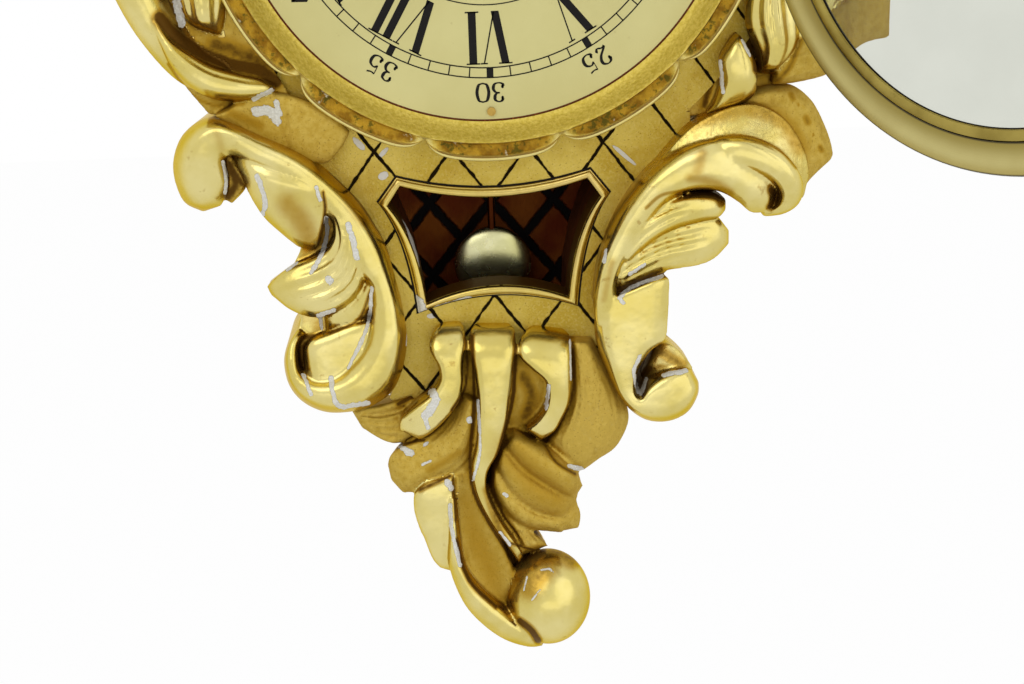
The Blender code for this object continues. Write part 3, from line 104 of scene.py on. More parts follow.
def at(px, py, rise):
    """The point that shows at a pixel of the picture, some mm in front of the front panel."""
    px, py, rise = alike(px, py, rise)
    ray = (px[..., None] - MIDDLE[0]) / FOCUS * RIGHT - (py[..., None] - MIDDLE[1]) / FOCUS * UP - BACK
    reach = (-(PANEL_FRONT + rise / MM_PER_M) - EYE[1]) / ray[..., 1]
    return EYE + reach[..., None] * ray


def drawn(x, z, rise):
    """The point at a place in mm on the front panel, some mm in front of it."""
    x, z, rise = alike(x, z, rise)
    return np.stack((x / MM_PER_M, -(PANEL_FRONT + rise / MM_PER_M), z / MM_PER_M), axis=-1)


def pixel(points):
    """Where points of the clock show in the picture."""
    gap = np.asarray(points) - EYE
    away = -gap @ BACK
    return np.stack((MIDDLE[0] + FOCUS * (gap @ RIGHT) / away, MIDDLE[1] - FOCUS * (gap @ UP) / away), axis=-1)


print("drop's tip shows at", np.round(pixel(at(540, 646, 10)), 1))

# %% [markdown]
# ## Writing finishes as sums
# A finish is a graph of nodes. Laying each node by hand is slow to read, so a small class wraps a socket.
# Adding or multiplying two of them adds the Math node, and one method adds any other node.

# %% Tools for finishes


class Tone:
    """A number that changes over a surface."""

    def __init__(self, finish, socket):
        self.finish = finish
        self.socket = socket

    def math(self, operation, *others):
        return self.finish.add("ShaderNodeMath", {"operation": operation}, dict(enumerate((self, *others))))

    def __add__(self, other):
        return self.math("ADD", other)

    def __mul__(self, other):
        return self.math("MULTIPLY", other)

    def __sub__(self, other):
        return self.math("SUBTRACT", other)

    def __rsub__(self, other):
        return self.finish.add("ShaderNodeMath", {"operation": "SUBTRACT"}, {0: other, 1: self})

    def __truediv__(self, other):
        return self.math("DIVIDE", other)

    __radd__ = __add__
    __rmul__ = __mul__

    def step(self, low, high):
        """0 below the first number, 1 above the second, and smooth between them."""
        return self.finish.add(
            "ShaderNodeMapRange",
            {"interpolation_type": "SMOOTHSTEP"},
            {"Value": self, "From Min": low, "From Max": high},
        )


class Finish:
    """One material and its nodes."""

    def __init__(self, name, roughness=0.5, metallic=0.0, gleam=0.5, edge=(1, 1, 1)):
        self.material = bpy.data.materials.new(name)
        self.material.use_nodes = True
        self.tree = self.material.node_tree
        self.shader = self.tree.nodes["Principled BSDF"]
        self.shader.inputs["Roughness"].default_value = roughness
        self.shader.inputs["Metallic"].default_value = metallic
        self.shader.inputs["Specular IOR Level"].default_value = gleam
        self.shader.inputs["Specular Tint"].default_value = (*edge, 1)
        self.place = self.add("ShaderNodeTexCoord", output="Object")

    def put(self, socket, value):
        if isinstance(value, Tone):
            self.tree.links.new(value.socket, socket)
        elif hasattr(socket.default_value, "__len__") and len(socket.default_value) == 4:
            socket.default_value = (*value[:3], 1)
        else:
            socket.default_value = value

    def add(self, kind, settings=None, values=None, output=0):
        node = self.tree.nodes.new(kind)
        for key, value in (settings or {}).items():
            setattr(node, key, value)
        for key, value in (values or {}).items():
            self.put(node.inputs[key], value)
        return Tone(self, node.outputs[output])

    def noise(self, scale, detail=3, roughness=0.55, stretch=None):
        place = self.place
        if stretch:
            place = self.add("ShaderNodeMapping", values={"Vector": place, "Scale": stretch})
        values = {"Vector": place, "Scale": scale, "Detail": detail, "Roughness": roughness}
        return self.add("ShaderNodeTexNoise", values=values, output="Fac")

    def mix(self, share, first, second):
        """Colours go through a Mix node, because a Math node would turn them grey."""
        return self.add("ShaderNodeMix", {"data_type": "RGBA"}, {0: share, 6: first, 7: second}, 2)

    def parts(self, kind, whole):
        node = self.tree.nodes.new(kind)
        self.put(node.inputs[0], whole)
        return [Tone(self, out) for out in node.outputs]

    def split(self, name):
        """The channels of a painted attribute."""
        colour = self.add("ShaderNodeAttribute", {"attribute_name": name}, output="Color")
        return self.parts("ShaderNodeSeparateColor", colour)

    def axes(self):
        return self.parts("ShaderNodeSeparateXYZ", self.place)

    def bump(self, height, depth):
        values = {"Height": height, "Distance": depth, "Strength": 1.0}
        return self.add("ShaderNodeBump", values=values)

    def set(self, **values):
        for key, value in values.items():
            self.put(self.shader.inputs[key.replace("_", " ").title()], value)
        return self.material


def srgb(*levels):
    """A colour as seen in the picture, in 0 to 255, as the light it stands for."""
    return tuple(((v / 255 + 0.055) / 1.055) ** 2.4 if v > 10 else v / 255 / 12.92 for v in levels)


GOLD_EDGE = srgb(232, 208, 128)
COARSE_BUMP, FINE_BUMP = 0.0004, 0.00002
print("finish tools ready, mid gold is", np.round(srgb(205, 190, 100), 3))

# %% [markdown]
# ## Gold leaf
# The carving is wood under white gesso, with gold leaf that was burnished where it stands high.
# Low places were left matt and then glazed brown. Where the leaf has worn off, the white gesso shows.
# The brown glaze also carries painted shade: in hollows, on sides turned from the light and along drawn strokes.
# One finish does all three: a painted attribute says how matt it is, how deep it lies with its painted shade, and where
# it is chipped, and noise breaks the borders.

# %% Gilt for the carvings


def carved_gilt():
    gilt = Finish("carved_gilt", gleam=0.3, edge=GOLD_EDGE)
    matt, deep, chip = gilt.split("gilding")
    cloud = gilt.noise(38, 4)
    grain = gilt.noise(420, 4)
    speck = gilt.noise(1300, 2)
    streak = gilt.noise(150, 5, 0.7, (1, 1, 0.3))
    drift, ruffle = cloud - 0.5, grain - 0.5
    bright = gilt.mix(cloud.step(0.35, 0.7), srgb(208, 190, 106), srgb(224, 210, 142))
    dull = gilt.mix(grain.step(0.2, 0.8), srgb(184, 152, 58), srgb(202, 174, 84))
    dull = gilt.mix(streak.step(0.52, 0.68) * 0.45, dull, srgb(160, 124, 40))
    dull = gilt.mix(speck.step(0.62, 0.7) * 0.6, dull, srgb(128, 96, 34))
    share = (matt + ruffle * 0.35).step(0.35, 0.65)
    colour = gilt.mix(share, bright, dull)
    rubbed = gilt.noise(170, 5, 0.65).step(0.63, 0.72) * 0.45 + gilt.noise(800, 2).step(0.72, 0.76) * 0.6
    colour = gilt.mix(rubbed * (1 - share * 0.6), colour, srgb(150, 112, 30))
    # The second channel holds the brown glaze of the hollows and painted shade together, so these two mixes paint both.
    tone_and_shade = (deep + drift * 0.25 + ruffle * 0.1).step(0.06, 0.42)
    colour = gilt.mix(tone_and_shade * 0.8, colour, srgb(164, 124, 22))
    glaze_and_shade = (deep + drift * 0.3 + ruffle * 0.35).step(0.36, 0.75)
    colour = gilt.mix(glaze_and_shade * 0.92, colour, srgb(78, 46, 8))
    bare = (chip + ruffle * 0.9 + drift * 0.4).step(0.47, 0.55)
    gesso = gilt.mix(speck.step(0.35, 0.7), srgb(212, 210, 200), srgb(232, 231, 224))
    colour = gilt.mix(bare, colour, gesso)
    gloss = 0.2 + share * 0.28 + glaze_and_shade * 0.2 + cloud * 0.06 + bare * 0.3
    height = grain * (0.08 + share * 0.45) + speck * share * 0.3 - bare * 0.8
    height = height + cloud * 0.8 + gilt.noise(110, 2) * 0.55 + streak * share * 0.5
    metal = (1 - bare) * (0.96 - share * 0.36) * (1 - glaze_and_shade * 0.4)
    return gilt.set(base_color=colour, roughness=gloss, metallic=metal, normal=gilt.bump(height, COARSE_BUMP))


CARVED_GILT = carved_gilt()
print("carved gilt has", len(CARVED_GILT.node_tree.nodes), "nodes")

# %% [markdown]
# ## How a leaf of carving is made
# A carved leaf has no primitive that resembles it. A carver saws an outline and then rounds what lies between
# its edges. The same is done here: each row gives the two edges of a leaf at one place and how high it stands.
# Smooth curves run through the rows, a section is laid across each of them, and the sides go back to the case.

# %% Sections of a leaf


def bowed(power):
    """A section that bows up between its edges; the higher the power, the flatter it is."""
    return lambda u: 1 - np.abs(u) ** power


round_section, soft_section, flat_section = bowed(2.3), bowed(3.4), bowed(6)


def slope_section(u):
    """A bevel that rises from the first edge to the second."""
    return ((u + 1) / 2) ** 0.8


def cup_section(u):
    """A hollow between two raised lips."""
    return 0.35 + 0.65 * np.abs(u) ** 2 - 0.9 * np.clip(np.abs(u) - 0.82, 0, 1) ** 2 / 0.18**2


def roof_section(u):
    """A soft ridge, nearer to the second edge."""
    return np.clip(1 - np.where(u > 0.25, (u - 0.25) / 0.75, (0.25 - u) / 1.25) ** 1.4, 0, 1)


def smooth_rows(rows, steps=7):
    """More rows, on a curve through the given ones."""
    rows = np.array(rows, float)
    ends = np.vstack((2 * rows[0] - rows[1], rows, 2 * rows[-1] - rows[-2]))
    t = (np.arange(steps) / steps)[:, None]
    made = []
    for a, b, c, d in zip(ends, ends[1:], ends[2:], ends[3:]):
        made.append(b + 0.5 * t * (c - a + t * (2 * a - 5 * b + 4 * c - d + t * (3 * (b - c) + d - a))))
    return np.vstack((*made, rows[-1:]))


CASE_RADIUS, APRON_HALF, APRON_FOOT, APRON_TOP = 0.1265, 0.046, -0.214, -0.08


def in_case(x, z):
    """Whether a place lies in front of the case and not beside it."""
    apron = (np.abs(x) < APRON_HALF) & (z > APRON_FOOT) & (z < APRON_TOP)
    return (np.hypot(x, z) < CASE_RADIUS) | apron


ACROSS = np.sin(np.linspace(-1, 1, 31) * math.pi / 2)
FADE_IN, FADE_OUT = 0.12, 0.25
BACK_WIDTH = 0.72
SEAT = 0.003


def leaf(rows, place=at, section=round_section, edges=(0.5, 0.5), floor=(30, 10), flutes=(), caps=(10, 10), matt=0):
    """A leaf of carving. A flute is a groove: its place across, width, depth in mm, and where it starts and ends."""
    rows = smooth_rows(rows)
    first, second, crown = rows[:, 0:2], rows[:, 2:4], rows[:, 4:5]
    middle = (first + second) / 2
    run = np.concatenate(((0,), np.cumsum(np.hypot(*np.diff(middle, axis=0).T))))
    share = (run / run[-1])[:, None]
    cap = np.minimum(run / caps[0], 1) * np.minimum((run[-1] - run) / caps[1], 1)
    cap = np.sqrt(1 - (1 - cap[:, None]) ** 2)
    u = ACROSS[None, :]
    edge = edges[0] + (edges[1] - edges[0]) * (u + 1) / 2
    rise = crown * (edge + (1 - edge) * section(u) * cap)
    for across, width, depth, start, end in flutes:
        fade = np.clip((share - start) / FADE_IN, 0, 1) * np.clip((end - share) / FADE_OUT, 0, 1)
        rise = rise - depth * np.exp(-(((u - across) / width) ** 2)) * fade
    line = first[:, None, :] + (second - first)[:, None, :] * (ACROSS[None, :, None] + 1) / 2
    front = place(line[..., 0], line[..., 1], rise)
    depth = floor[0] + (floor[1] - floor[0]) * share**1.3
    rings = [front]
    heart = (front[:, 0] + front[:, -1]) / 2
    for side in (-1, 0):
        back = heart + (front[:, side] - heart) * BACK_WIDTH
        back[:, 1] = -(PANEL_FRONT - depth[:, 0] / MM_PER_M)
        inside = in_case(back[:, 0], back[:, 2])
        back[inside, 1] = np.minimum(back[inside, 1], -(PANEL_FRONT - SEAT))
        rings.append(back[:, None, :])
    return np.concatenate(rings, axis=1), np.full(front.shape[:2], float(matt))


def loft(points):
    """Corners and faces of a closed tube through rings of points."""
    count, size = points.shape[:2]
    index = np.arange(count * size).reshape(count, size)
    after = np.roll(index, -1, axis=1)
    sides = np.stack((index[:-1], after[:-1], after[1:], index[1:]), axis=-1).reshape(-1, 4)
    return points.reshape(-1, 3), [*sides.tolist(), index[0].tolist(), index[-1][::-1].tolist()]


print("a leaf's section has", len(ACROSS), "points")

# %% [markdown]
# ## From leaves to one carving
# The leaves of a carving overlap, as they do in one block of wood. A voxel remesh melts them into one skin,
# and a little smoothing takes away the steps. Numbers are then painted on its points for the gilt:
# how matt the nearest leaf is, how deep a point lies among its neighbours, and where the gold has chipped.
# The depth, the sides turned from the light and drawn strokes together set painted shade in the brown glaze.

# %% Join, remesh and paint


def only(piece):
    bpy.ops.object.select_all(action="DESELECT")
    piece.select_set(True)
    bpy.context.view_layer.objects.active = piece


def edited(piece, *steps):
    """Takes steps on all of a mesh in edit mode. The last one turns its faces outwards."""
    only(piece)
    bpy.ops.object.mode_set(mode="EDIT")
    for step in (*steps, lambda: bpy.ops.mesh.normals_make_consistent(inside=False)):
        bpy.ops.mesh.select_all(action="SELECT")
        step()
    bpy.ops.object.mode_set(mode="OBJECT")
    return piece


def applied(piece, kind, **settings):
    """Adds a modifier, sets it and applies it."""
    only(piece)
    bpy.ops.object.modifier_add(type=kind)
    modifier = piece.modifiers[-1]
    for key, value in settings.items():
        setattr(modifier, key, value)
    bpy.ops.object.modifier_apply(modifier=modifier.name)


def mesh_piece(name, corners, faces):
    mesh = bpy.data.meshes.new(name)
    mesh.from_pydata([tuple(c) for c in np.asarray(corners, float)], [], faces)
    mesh.update()
    return edited(linked(name, mesh))


def slot_of(node):
    """The material slot of a solid."""
    return NODES[node].data.materials[0].name.split(".")[0]


def corners_of(piece):
    found = np.empty(len(piece.data.vertices) * 3)
    piece.data.vertices.foreach_get("co", found)
    return found.reshape(-1, 3)


GOLDEN_TURN = 2.39996
WIDEST = 0.92
LIFT = 0.0006


def depth_among(piece, reach=0.018, rays=11):
    """How much of the view from each point is shut off by the carving itself, from 0 to 1."""
    tree = BVHTree.FromPolygons([v.co for v in piece.data.vertices], [p.vertices for p in piece.data.polygons])
    turns = [GOLDEN_TURN * i for i in range(rays)]
    tilts = [math.sqrt((i + 0.5) / rays) * WIDEST for i in range(rays)]
    shut = np.zeros(len(piece.data.vertices))
    for i, vertex in enumerate(piece.data.vertices):
        normal = vertex.normal
        side = normal.orthogonal().normalized()
        over = normal.cross(side)
        start = vertex.co + normal * LIFT
        for turn, tilt in zip(turns, tilts):
            aim = normal * math.sqrt(1 - tilt * tilt) + (side * math.cos(turn) + over * math.sin(turn)) * tilt
            hit = tree.ray_cast(start, aim, reach)[3]
            if hit is not None:
                shut[i] += 1 - hit / reach
    return shut / rays


def stroked(points, strokes, soft=False):
    """Brush strokes drawn on the picture, falling to 0 beside them: width, strength and points of each."""
    seen = pixel(points)
    found = np.zeros(len(points))
    for width, strength, *line in strokes:
        line = smooth_rows(line) if len(line) > 2 else np.array(line, float)
        for a, b in zip(line, line[1:]):
            along = np.clip(((seen - a) @ (b - a)) / max((b - a) @ (b - a), 1e-6), 0, 1)
            away = np.hypot(*(seen - a - along[:, None] * (b - a)).T)
            brush = np.exp(-((away / width) ** 2)) if soft else np.clip(1 - 0.5 * away / width, 0, 1)
            found = np.maximum(found, strength * brush)
    return found


def paint(piece, values):
    """Keeps how matt, deep and chipped each point is; on carvings the depth also carries painted shade."""
    layer = piece.data.attributes.new("gilding", "FLOAT_COLOR", "POINT")
    layer.data.foreach_set("color", np.concatenate((values, np.ones((len(values), 1))), axis=1).ravel())


def chipped(points, chips):
    """1 where the gilding is chipped off. Each chip has its width and its points on the picture."""
    return stroked(points, [(width, 1, *line) for width, *line in chips])


# The side the light comes from. Carvings get painted shade on the points turned away from it.
LIT_SIDE = np.array((0.0, -0.86, 0.5))


def carve(name, leaves, voxel=0.0008, chips=(), shades=(), extra=()):
    """Melts leaves into one carving, paints its gilding with its painted shade and lets it take the place of its solid.
    """
    corners, faces, where, matt = [], [], [], []
    for points, finish in leaves:
        made, sides = loft(points)
        start = sum(len(c) for c in corners)
        faces += [[start + i for i in face] for face in sides]
        corners.append(made)
        where.append(points[:, : finish.shape[1]].reshape(-1, 3))
        matt.append(finish.ravel())
    piece = mesh_piece(name, np.concatenate(corners), faces)
    for other in extra:
        where.append(corners_of(other))
        matt.append(np.zeros(len(where[-1])))
        only(piece)
        other.select_set(True)
        bpy.ops.object.join()
    only(piece)
    piece.data.remesh_voxel_size = voxel
    bpy.ops.object.voxel_remesh()
    applied(piece, "SMOOTH", factor=0.5, iterations=7)
    bpy.ops.object.shade_smooth()
    where, matt = np.concatenate(where), np.concatenate(matt)
    tree = KDTree(len(where))
    for i, point in enumerate(where):
        tree.insert(point, i)
    tree.balance()
    nearest = np.array([tree.find(v.co)[1] for v in piece.data.vertices])
    points = corners_of(piece)
    turned = np.empty(len(points) * 3)
    piece.data.vertices.foreach_get("normal", turned)
    # Second channel: brown glaze in the hollows, deepened as painted shade where the carving shuts off its own light,
    # plus painted shade on points turned away from the lit side and along the shade strokes drawn on the picture.
    under = np.clip(0.5 - turned.reshape(-1, 3) @ LIT_SIDE, 0, 1)
    deep = np.maximum(1.1 * depth_among(piece) + 0.3 * under, stroked(points, shades, True))
    paint(piece, np.stack((matt[nearest], deep, chipped(points, chips)), axis=1))
    piece.data.materials.clear()
    piece.data.materials.append(CARVED_GILT)
    solid = name.removeprefix("carved_")
    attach(piece, "case")
    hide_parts(solid)
    slot_of(solid)
    print(name, "has", len(piece.data.polygons), "faces")


# %% [markdown]
# ## The left scroll
# An S-shaped band runs from a curl at the top, past the window, into a volute at the bottom.
# Three leaves fall from it to the left, and the second has grooves. The volute holds a flat, shining eye.
# A low ground lies under them all, so that no light shows between the leaves.

# %% Carve the left scroll
LEFT_BAND = (
    (203, 212, 221, 206, 12), (184, 202, 227, 194, 17), (174, 178, 228, 181, 20), (174, 155, 225, 167, 22),
    (184, 133, 226, 158, 23), (206, 118, 233, 156, 24), (230, 122, 246, 161, 25), (262, 136, 263, 171, 25),
    (292, 149, 285, 183, 24), (318, 166, 305, 197, 23), (343, 188, 322, 211, 22), (362, 208, 332, 223, 22),
    (375, 228, 339, 237, 22), (386, 248, 345, 252, 22), (394, 272, 355, 270, 22), (401, 300, 369, 286, 22),
    (406, 325, 372, 312, 23), (407, 345, 369, 335, 24), (402, 372, 362, 352, 24), (391, 393, 352, 364, 24),
    (372, 406, 342, 374, 24), (350, 412, 330, 380, 23), (325, 412, 318, 381, 22), (303, 402, 308, 378, 21),
    (289, 385, 300, 370, 19), (284, 362, 298, 356, 17), (288, 343, 299, 345, 14), (299, 326, 306, 334, 10),
)
LEFT_LEAF = (
    (236, 140, 318, 170, 16), (233, 156, 321, 182, 22), (238, 170, 323, 192, 24.5), (246, 188, 325, 203, 23.5),
    (255, 205, 325, 218, 22), (266, 220, 323, 231, 20), (284, 236, 319, 243, 17), (298, 247, 313, 251, 14),
)
LEFT_GROOVED = (
    (326, 204, 352, 226, 22.5), (332, 220, 364, 252, 23), (333, 236, 366, 274, 22.5), (326, 250, 358, 296, 21.5),
    (310, 259, 340, 311, 20), (290, 267, 316, 318, 18), (274, 279, 292, 311, 15), (267, 287, 271, 295, 12),
)
LEFT_THIRD = (
    (366, 268, 376, 290, 17), (362, 284, 374, 308, 17), (352, 298, 364, 322, 16), (338, 306, 347, 331, 14.5),
    (324, 311, 327, 333, 12),
)
LEFT_EYE = (
    (370, 322, 370, 356, 17), (350, 326, 360, 376, 18), (330, 334, 338, 388, 18), (312, 341, 316, 390, 17.5),
    (304, 350, 305, 378, 15),
)
LEFT_CORNER = ((222, 150, 242, 158, 13), (223, 166, 246, 172, 11), (222, 182, 246, 188, 9), (219, 196, 232, 204, 7))
LEFT_GROUND = (
    (238, 164, 334, 184, 5), (252, 190, 352, 206, 5), (268, 214, 370, 230, 5), (300, 240, 384, 252, 5),
    (292, 268, 394, 276, 5), (286, 292, 402, 302, 5), (300, 318, 404, 326, 6), (292, 345, 404, 350, 7),
    (294, 375, 396, 380, 7), (306, 396, 376, 402, 6),
)
GROOVES = (
    (-0.66, 0.13, 2.0, 0, 0.85), (-0.25, 0.13, 2.4, 0, 0.9), (0.15, 0.13, 2.4, 0, 0.85), (0.55, 0.13, 2.0, 0, 0.8),
)
LEFT_CHIPS = (
    (1.8, (223, 162), (226, 178), (225, 193)), (2.4, (257, 176), (265, 200), (262, 216)),
    (2, (316, 187), (320, 200)), (2.2, (326, 218), (327, 235), (320, 258), (311, 273)),
    (3, (348, 225), (353, 240), (357, 258)), (3.4, (329, 279), (330, 281)), (1.6, (287, 270), (297, 263)),
    (2, (318, 316), (334, 310)), (1.6, (320, 316), (322, 329)),
    (1.8, (372, 288), (369, 318), (362, 340), (348, 368)), (2.2, (303, 375), (311, 394)),
    (2.4, (331, 378), (333, 393), (340, 406), (368, 403)), (1.0, (396, 270), (407, 320), (407, 345)),
)
LEFT_SHADE = (
    (4, 0.8, (225, 160), (234, 172), (242, 184)), (2, 0.8, (323, 192), (325, 212), (318, 244)),
    (3, 0.9, (303, 346), (300, 362), (303, 376)), (7, 0.8, (230, 166), (236, 182), (228, 196)),
    (2, 0.7, (330, 333), (358, 320), (371, 290)), (4, 0.8, (302, 338), (314, 336)),
    (2.5, 0.7, (330, 172), (356, 198), (382, 236)), (15, 0.36, (288, 204), (302, 222), (309, 242)),
    (9, 0.38, (320, 170), (342, 190), (364, 220)), (7, 0.3, (392, 388), (405, 360), (408, 330)),
    (7, 0.22, (215, 128), (222, 150)), (2, 0.7, (382, 236), (400, 280), (409, 330)),
)
carve("carved_left_scroll", [
    leaf(LEFT_BAND, section=soft_section, edges=(0.3, 0.75), floor=(26, 30)),
    leaf(LEFT_LEAF, section=soft_section, edges=(0.6, 0.85), floor=(16, 6)),
    leaf(LEFT_GROOVED, section=soft_section, edges=(0.7, 0.7), floor=(16, 2), flutes=GROOVES),
    leaf(LEFT_THIRD, section=soft_section, edges=(0.7, 0.6), floor=(16, 8)),
    leaf(LEFT_EYE, section=flat_section, edges=(0.9, 0.9), floor=(14, 14)),
    leaf(LEFT_CORNER, section=flat_section, edges=(0.9, 0.7), floor=(16, 16), matt=0.4),
    leaf(LEFT_GROUND, section=flat_section, edges=(1, 1), floor=(22, 22)),
], chips=LEFT_CHIPS, shades=LEFT_SHADE)

# %% [markdown]
# ## The right scroll
# It answers the left one but isn't its mirror image: the curl is wider, with a bevel above it and a leaf behind,
# two grooved lobes hang from it, and a broad smooth panel leads down to the volute.

# %% Carve the right scroll
RIGHT_SPINE = (
    (597, 334, 624, 326, 17), (594, 308, 619, 302, 20), (596, 285, 617, 286, 21.5), (601, 262, 623, 268, 22.5),
    (610, 240, 634, 248, 23), (622, 216, 648, 227, 24), (638, 192, 664, 207, 25), (656, 172, 680, 195, 26),
    (680, 154, 700, 190, 26), (706, 143, 720, 192, 26), (734, 140, 738, 202, 25), (754, 148, 750, 212, 23),
    (769, 164, 761, 213, 21), (776, 181, 769, 211, 18), (776, 195, 772, 207, 15),
)
RIGHT_HOOK = (
    (716, 139, 724, 166, 24), (738, 137, 738, 168, 26), (760, 141, 754, 172, 27), (782, 152, 767, 178, 27),
    (797, 168, 776, 186, 26), (804, 187, 780, 195, 24), (799, 204, 778, 203, 21), (784, 214, 771, 209, 18),
    (764, 217, 760, 211, 14),
)
RIGHT_LIP = (
    (655, 166, 668, 170, 15), (688, 130, 696, 160, 18), (720, 111, 722, 152, 19), (752, 104, 746, 151, 19),
    (780, 115, 768, 158, 19), (800, 140, 785, 174, 18), (809, 170, 790, 189, 16), (804, 198, 786, 202, 12),
)
RIGHT_BEHIND = (
    (742, 92, 730, 128, 6), (765, 86, 750, 130, 8), (790, 84, 766, 136, 9), (810, 98, 778, 146, 9),
    (822, 118, 786, 162, 9), (831, 142, 792, 178, 8), (832, 158, 794, 190, 6), (818, 168, 798, 196, 4),
)
RIGHT_SECOND = (
    (618, 246, 626, 268, 22), (636, 220, 648, 246, 22.5), (660, 202, 674, 230, 22), (688, 193, 700, 222, 20),
    (712, 192, 718, 218, 17), (726, 199, 726, 210, 13),
)
RIGHT_THIRD = (
    (612, 258, 618, 292, 20), (634, 238, 640, 282, 19), (660, 224, 666, 271, 17.5), (688, 215, 696, 266, 15.5),
    (712, 212, 714, 259, 13), (729, 230, 729, 244, 10),
)
RIGHT_PANEL = (
    (610, 300, 640, 286, 17), (600, 304, 667, 277, 19.5), (595, 316, 669, 297, 20), (594, 330, 668, 320, 20),
    (597, 346, 665, 340, 20), (603, 362, 650, 352, 20), (611, 381, 638, 372, 20), (620, 398, 636, 392, 20),
    (634, 413, 642, 398, 20.5), (650, 421, 649, 386, 21), (670, 421, 660, 377, 21), (688, 412, 674, 371, 20),
    (698, 395, 686, 369, 18), (699, 382, 692, 371, 15),
)
RIGHT_HOLLOW = (
    (655, 345, 640, 376, 8), (670, 344, 652, 380, 10), (684, 356, 666, 380, 12), (693, 368, 682, 378, 12),
)
RIGHT_GROUND = (
    (764, 172, 786, 206, 6), (700, 166, 720, 186, 4), (640, 196, 664, 222, 4), (616, 236, 690, 236, 4),
    (606, 258, 690, 250, 4), (600, 280, 662, 276, 4), (586, 300, 640, 300, -1), (584, 330, 630, 330, -1),
    (590, 360, 636, 360, -1), (600, 388, 630, 386, -1),
)
RIGHT_CHIPS = (
    (2.2, (619, 298), (632, 287), (662, 276)), (2.2, (621, 301), (623, 303)), (1.8, (630, 274), (645, 264)),
    (1.8, (640, 356), (634, 372), (638, 392)), (2.4, (664, 375), (686, 371)), (1.8, (646, 379), (641, 394)),
    (1.6, (604, 262), (606, 250)), (1, (592, 300), (593, 330)),
)
RIGHT_SPOTS = ((3.6, 791, 95), (4.2, 806, 118), (1.6, 798, 104), (3.2, 820, 147), (1.5, 813, 134))
RIGHT_SHADE = (
    (4, 0.9, (771, 190), (775, 198), (770, 207)), (2, 0.5, (646, 208), (662, 195), (688, 190)),
    (2, 0.8, (618, 295), (636, 282), (664, 273)), (4, 0.9, (642, 378), (650, 368)),
    (8, 0.3, (702, 154), (697, 172)),
    (2, 0.36, (664, 160), (692, 147), (722, 138), (752, 138), (778, 149), (796, 168)),
    (7, 0.5, (660, 352), (682, 364)), (12, 0.4, (690, 122), (724, 113), (758, 110), (786, 124), (801, 148)),
    (7, 0.34, (690, 178), (712, 182), (730, 192)), (3, 0.6, (603, 240), (616, 214), (640, 182)),
    (2, 0.7, (592, 300), (593, 345), (604, 372)), (5, 0.26, (612, 262), (604, 300)),
    *[(width, 0.55, (x, y), (x + width / 2, y + width)) for width, x, y in RIGHT_SPOTS],
)
carve("carved_right_scroll", [
    leaf(RIGHT_SPINE, section=soft_section, edges=(0.84, 0.7), floor=(20, 14)),
    leaf(RIGHT_HOOK, section=soft_section, edges=(0.84, 0.8), floor=(16, 14)),
    leaf(RIGHT_LIP, section=slope_section, edges=(0.62, 0.3), floor=(22, 16), caps=(8, 6), matt=0.42),
    leaf(RIGHT_BEHIND, edges=(0.2, 0.6), floor=(22, 12), matt=1,
         flutes=((-0.3, 0.2, 1.6, 0, 1), (0.4, 0.2, 1.6, 0, 1))),
    leaf(RIGHT_SECOND, section=soft_section, edges=(0.7, 0.7), floor=(16, 4),
         flutes=((-0.35, 0.14, 1.8, 0, 0.8), (0.25, 0.14, 1.6, 0, 0.75))),
    leaf(RIGHT_THIRD, section=soft_section, edges=(0.65, 0.6), floor=(16, 4), flutes=GROOVES),
    leaf(RIGHT_PANEL, section=flat_section, edges=(0.5, 0.8), floor=(20, 20)),
    leaf(RIGHT_HOLLOW, edges=(0.8, 0.2), floor=(18, 18), matt=0.4),
    leaf(RIGHT_GROUND, section=flat_section, edges=(1, 1), floor=(14, 14), matt=0.6),
], chips=RIGHT_CHIPS, shades=RIGHT_SHADE)

# %% [markdown]
# ## The drop
# Below the window hangs a bunch of leaves: a flat stem with a small C-scroll on each side, matt leaves behind them,
# and a hollow scroll that runs round a ball at the very bottom.

# %% Carve the drop
DROP_STEM = (
    (475, 325, 511, 325, 4), (471, 329, 515, 329, 7), (469, 338, 516, 338, 11), (469, 350, 516, 350, 14.5),
    (473, 365, 514, 365, 15.8), (476, 384, 512, 384, 16), (478, 404, 509, 406, 16), (478, 426, 505, 432, 16),
    (476, 448, 498, 454, 15.5), (472, 468, 488, 472, 15), (475, 490, 487, 490, 14.5), (483, 510, 494, 508, 14),
    (495, 530, 504, 526, 14), (508, 547, 515, 542, 14), (519, 563, 524, 556, 12),
)
DROP_LEFT_SCROLL = (
    (444, 324, 461, 323, 4), (437, 328, 464, 327, 7), (431, 336, 466, 336, 11), (429, 345, 466, 347, 14),
    (431, 354, 464, 357, 15.5), (438, 366, 463, 370, 16), (439, 380, 463, 384, 16), (430, 394, 459, 402, 16),
    (414, 407, 447, 419, 15.5), (401, 419, 432, 433, 14), (399, 430, 420, 440, 11),
)
DROP_RIGHT_SCROLL = (
    (533, 327, 566, 331, 4), (526, 331, 570, 335, 7), (520, 339, 572, 343, 11), (518, 348, 572, 352, 14),
    (520, 358, 572, 362, 15.5), (531, 369, 572, 376, 16), (544, 380, 571, 390, 16), (548, 394, 569, 404, 15.5),
    (546, 408, 563, 418, 15), (538, 420, 554, 432, 14), (526, 430, 541, 441, 11),
)
DROP_BEHIND_LEFT = (
    (412, 396, 420, 432, 5), (388, 403, 400, 443, 5), (370, 407, 384, 441, 5), (351, 410, 362, 428, 4),
)
DROP_LEFT_LEAF = (
    (458, 390, 482, 400, 9), (444, 420, 482, 432, 10), (418, 440, 476, 462, 10), (396, 450, 454, 480, 9),
    (388, 462, 422, 491, 8), (391, 480, 403, 493, 5),
)
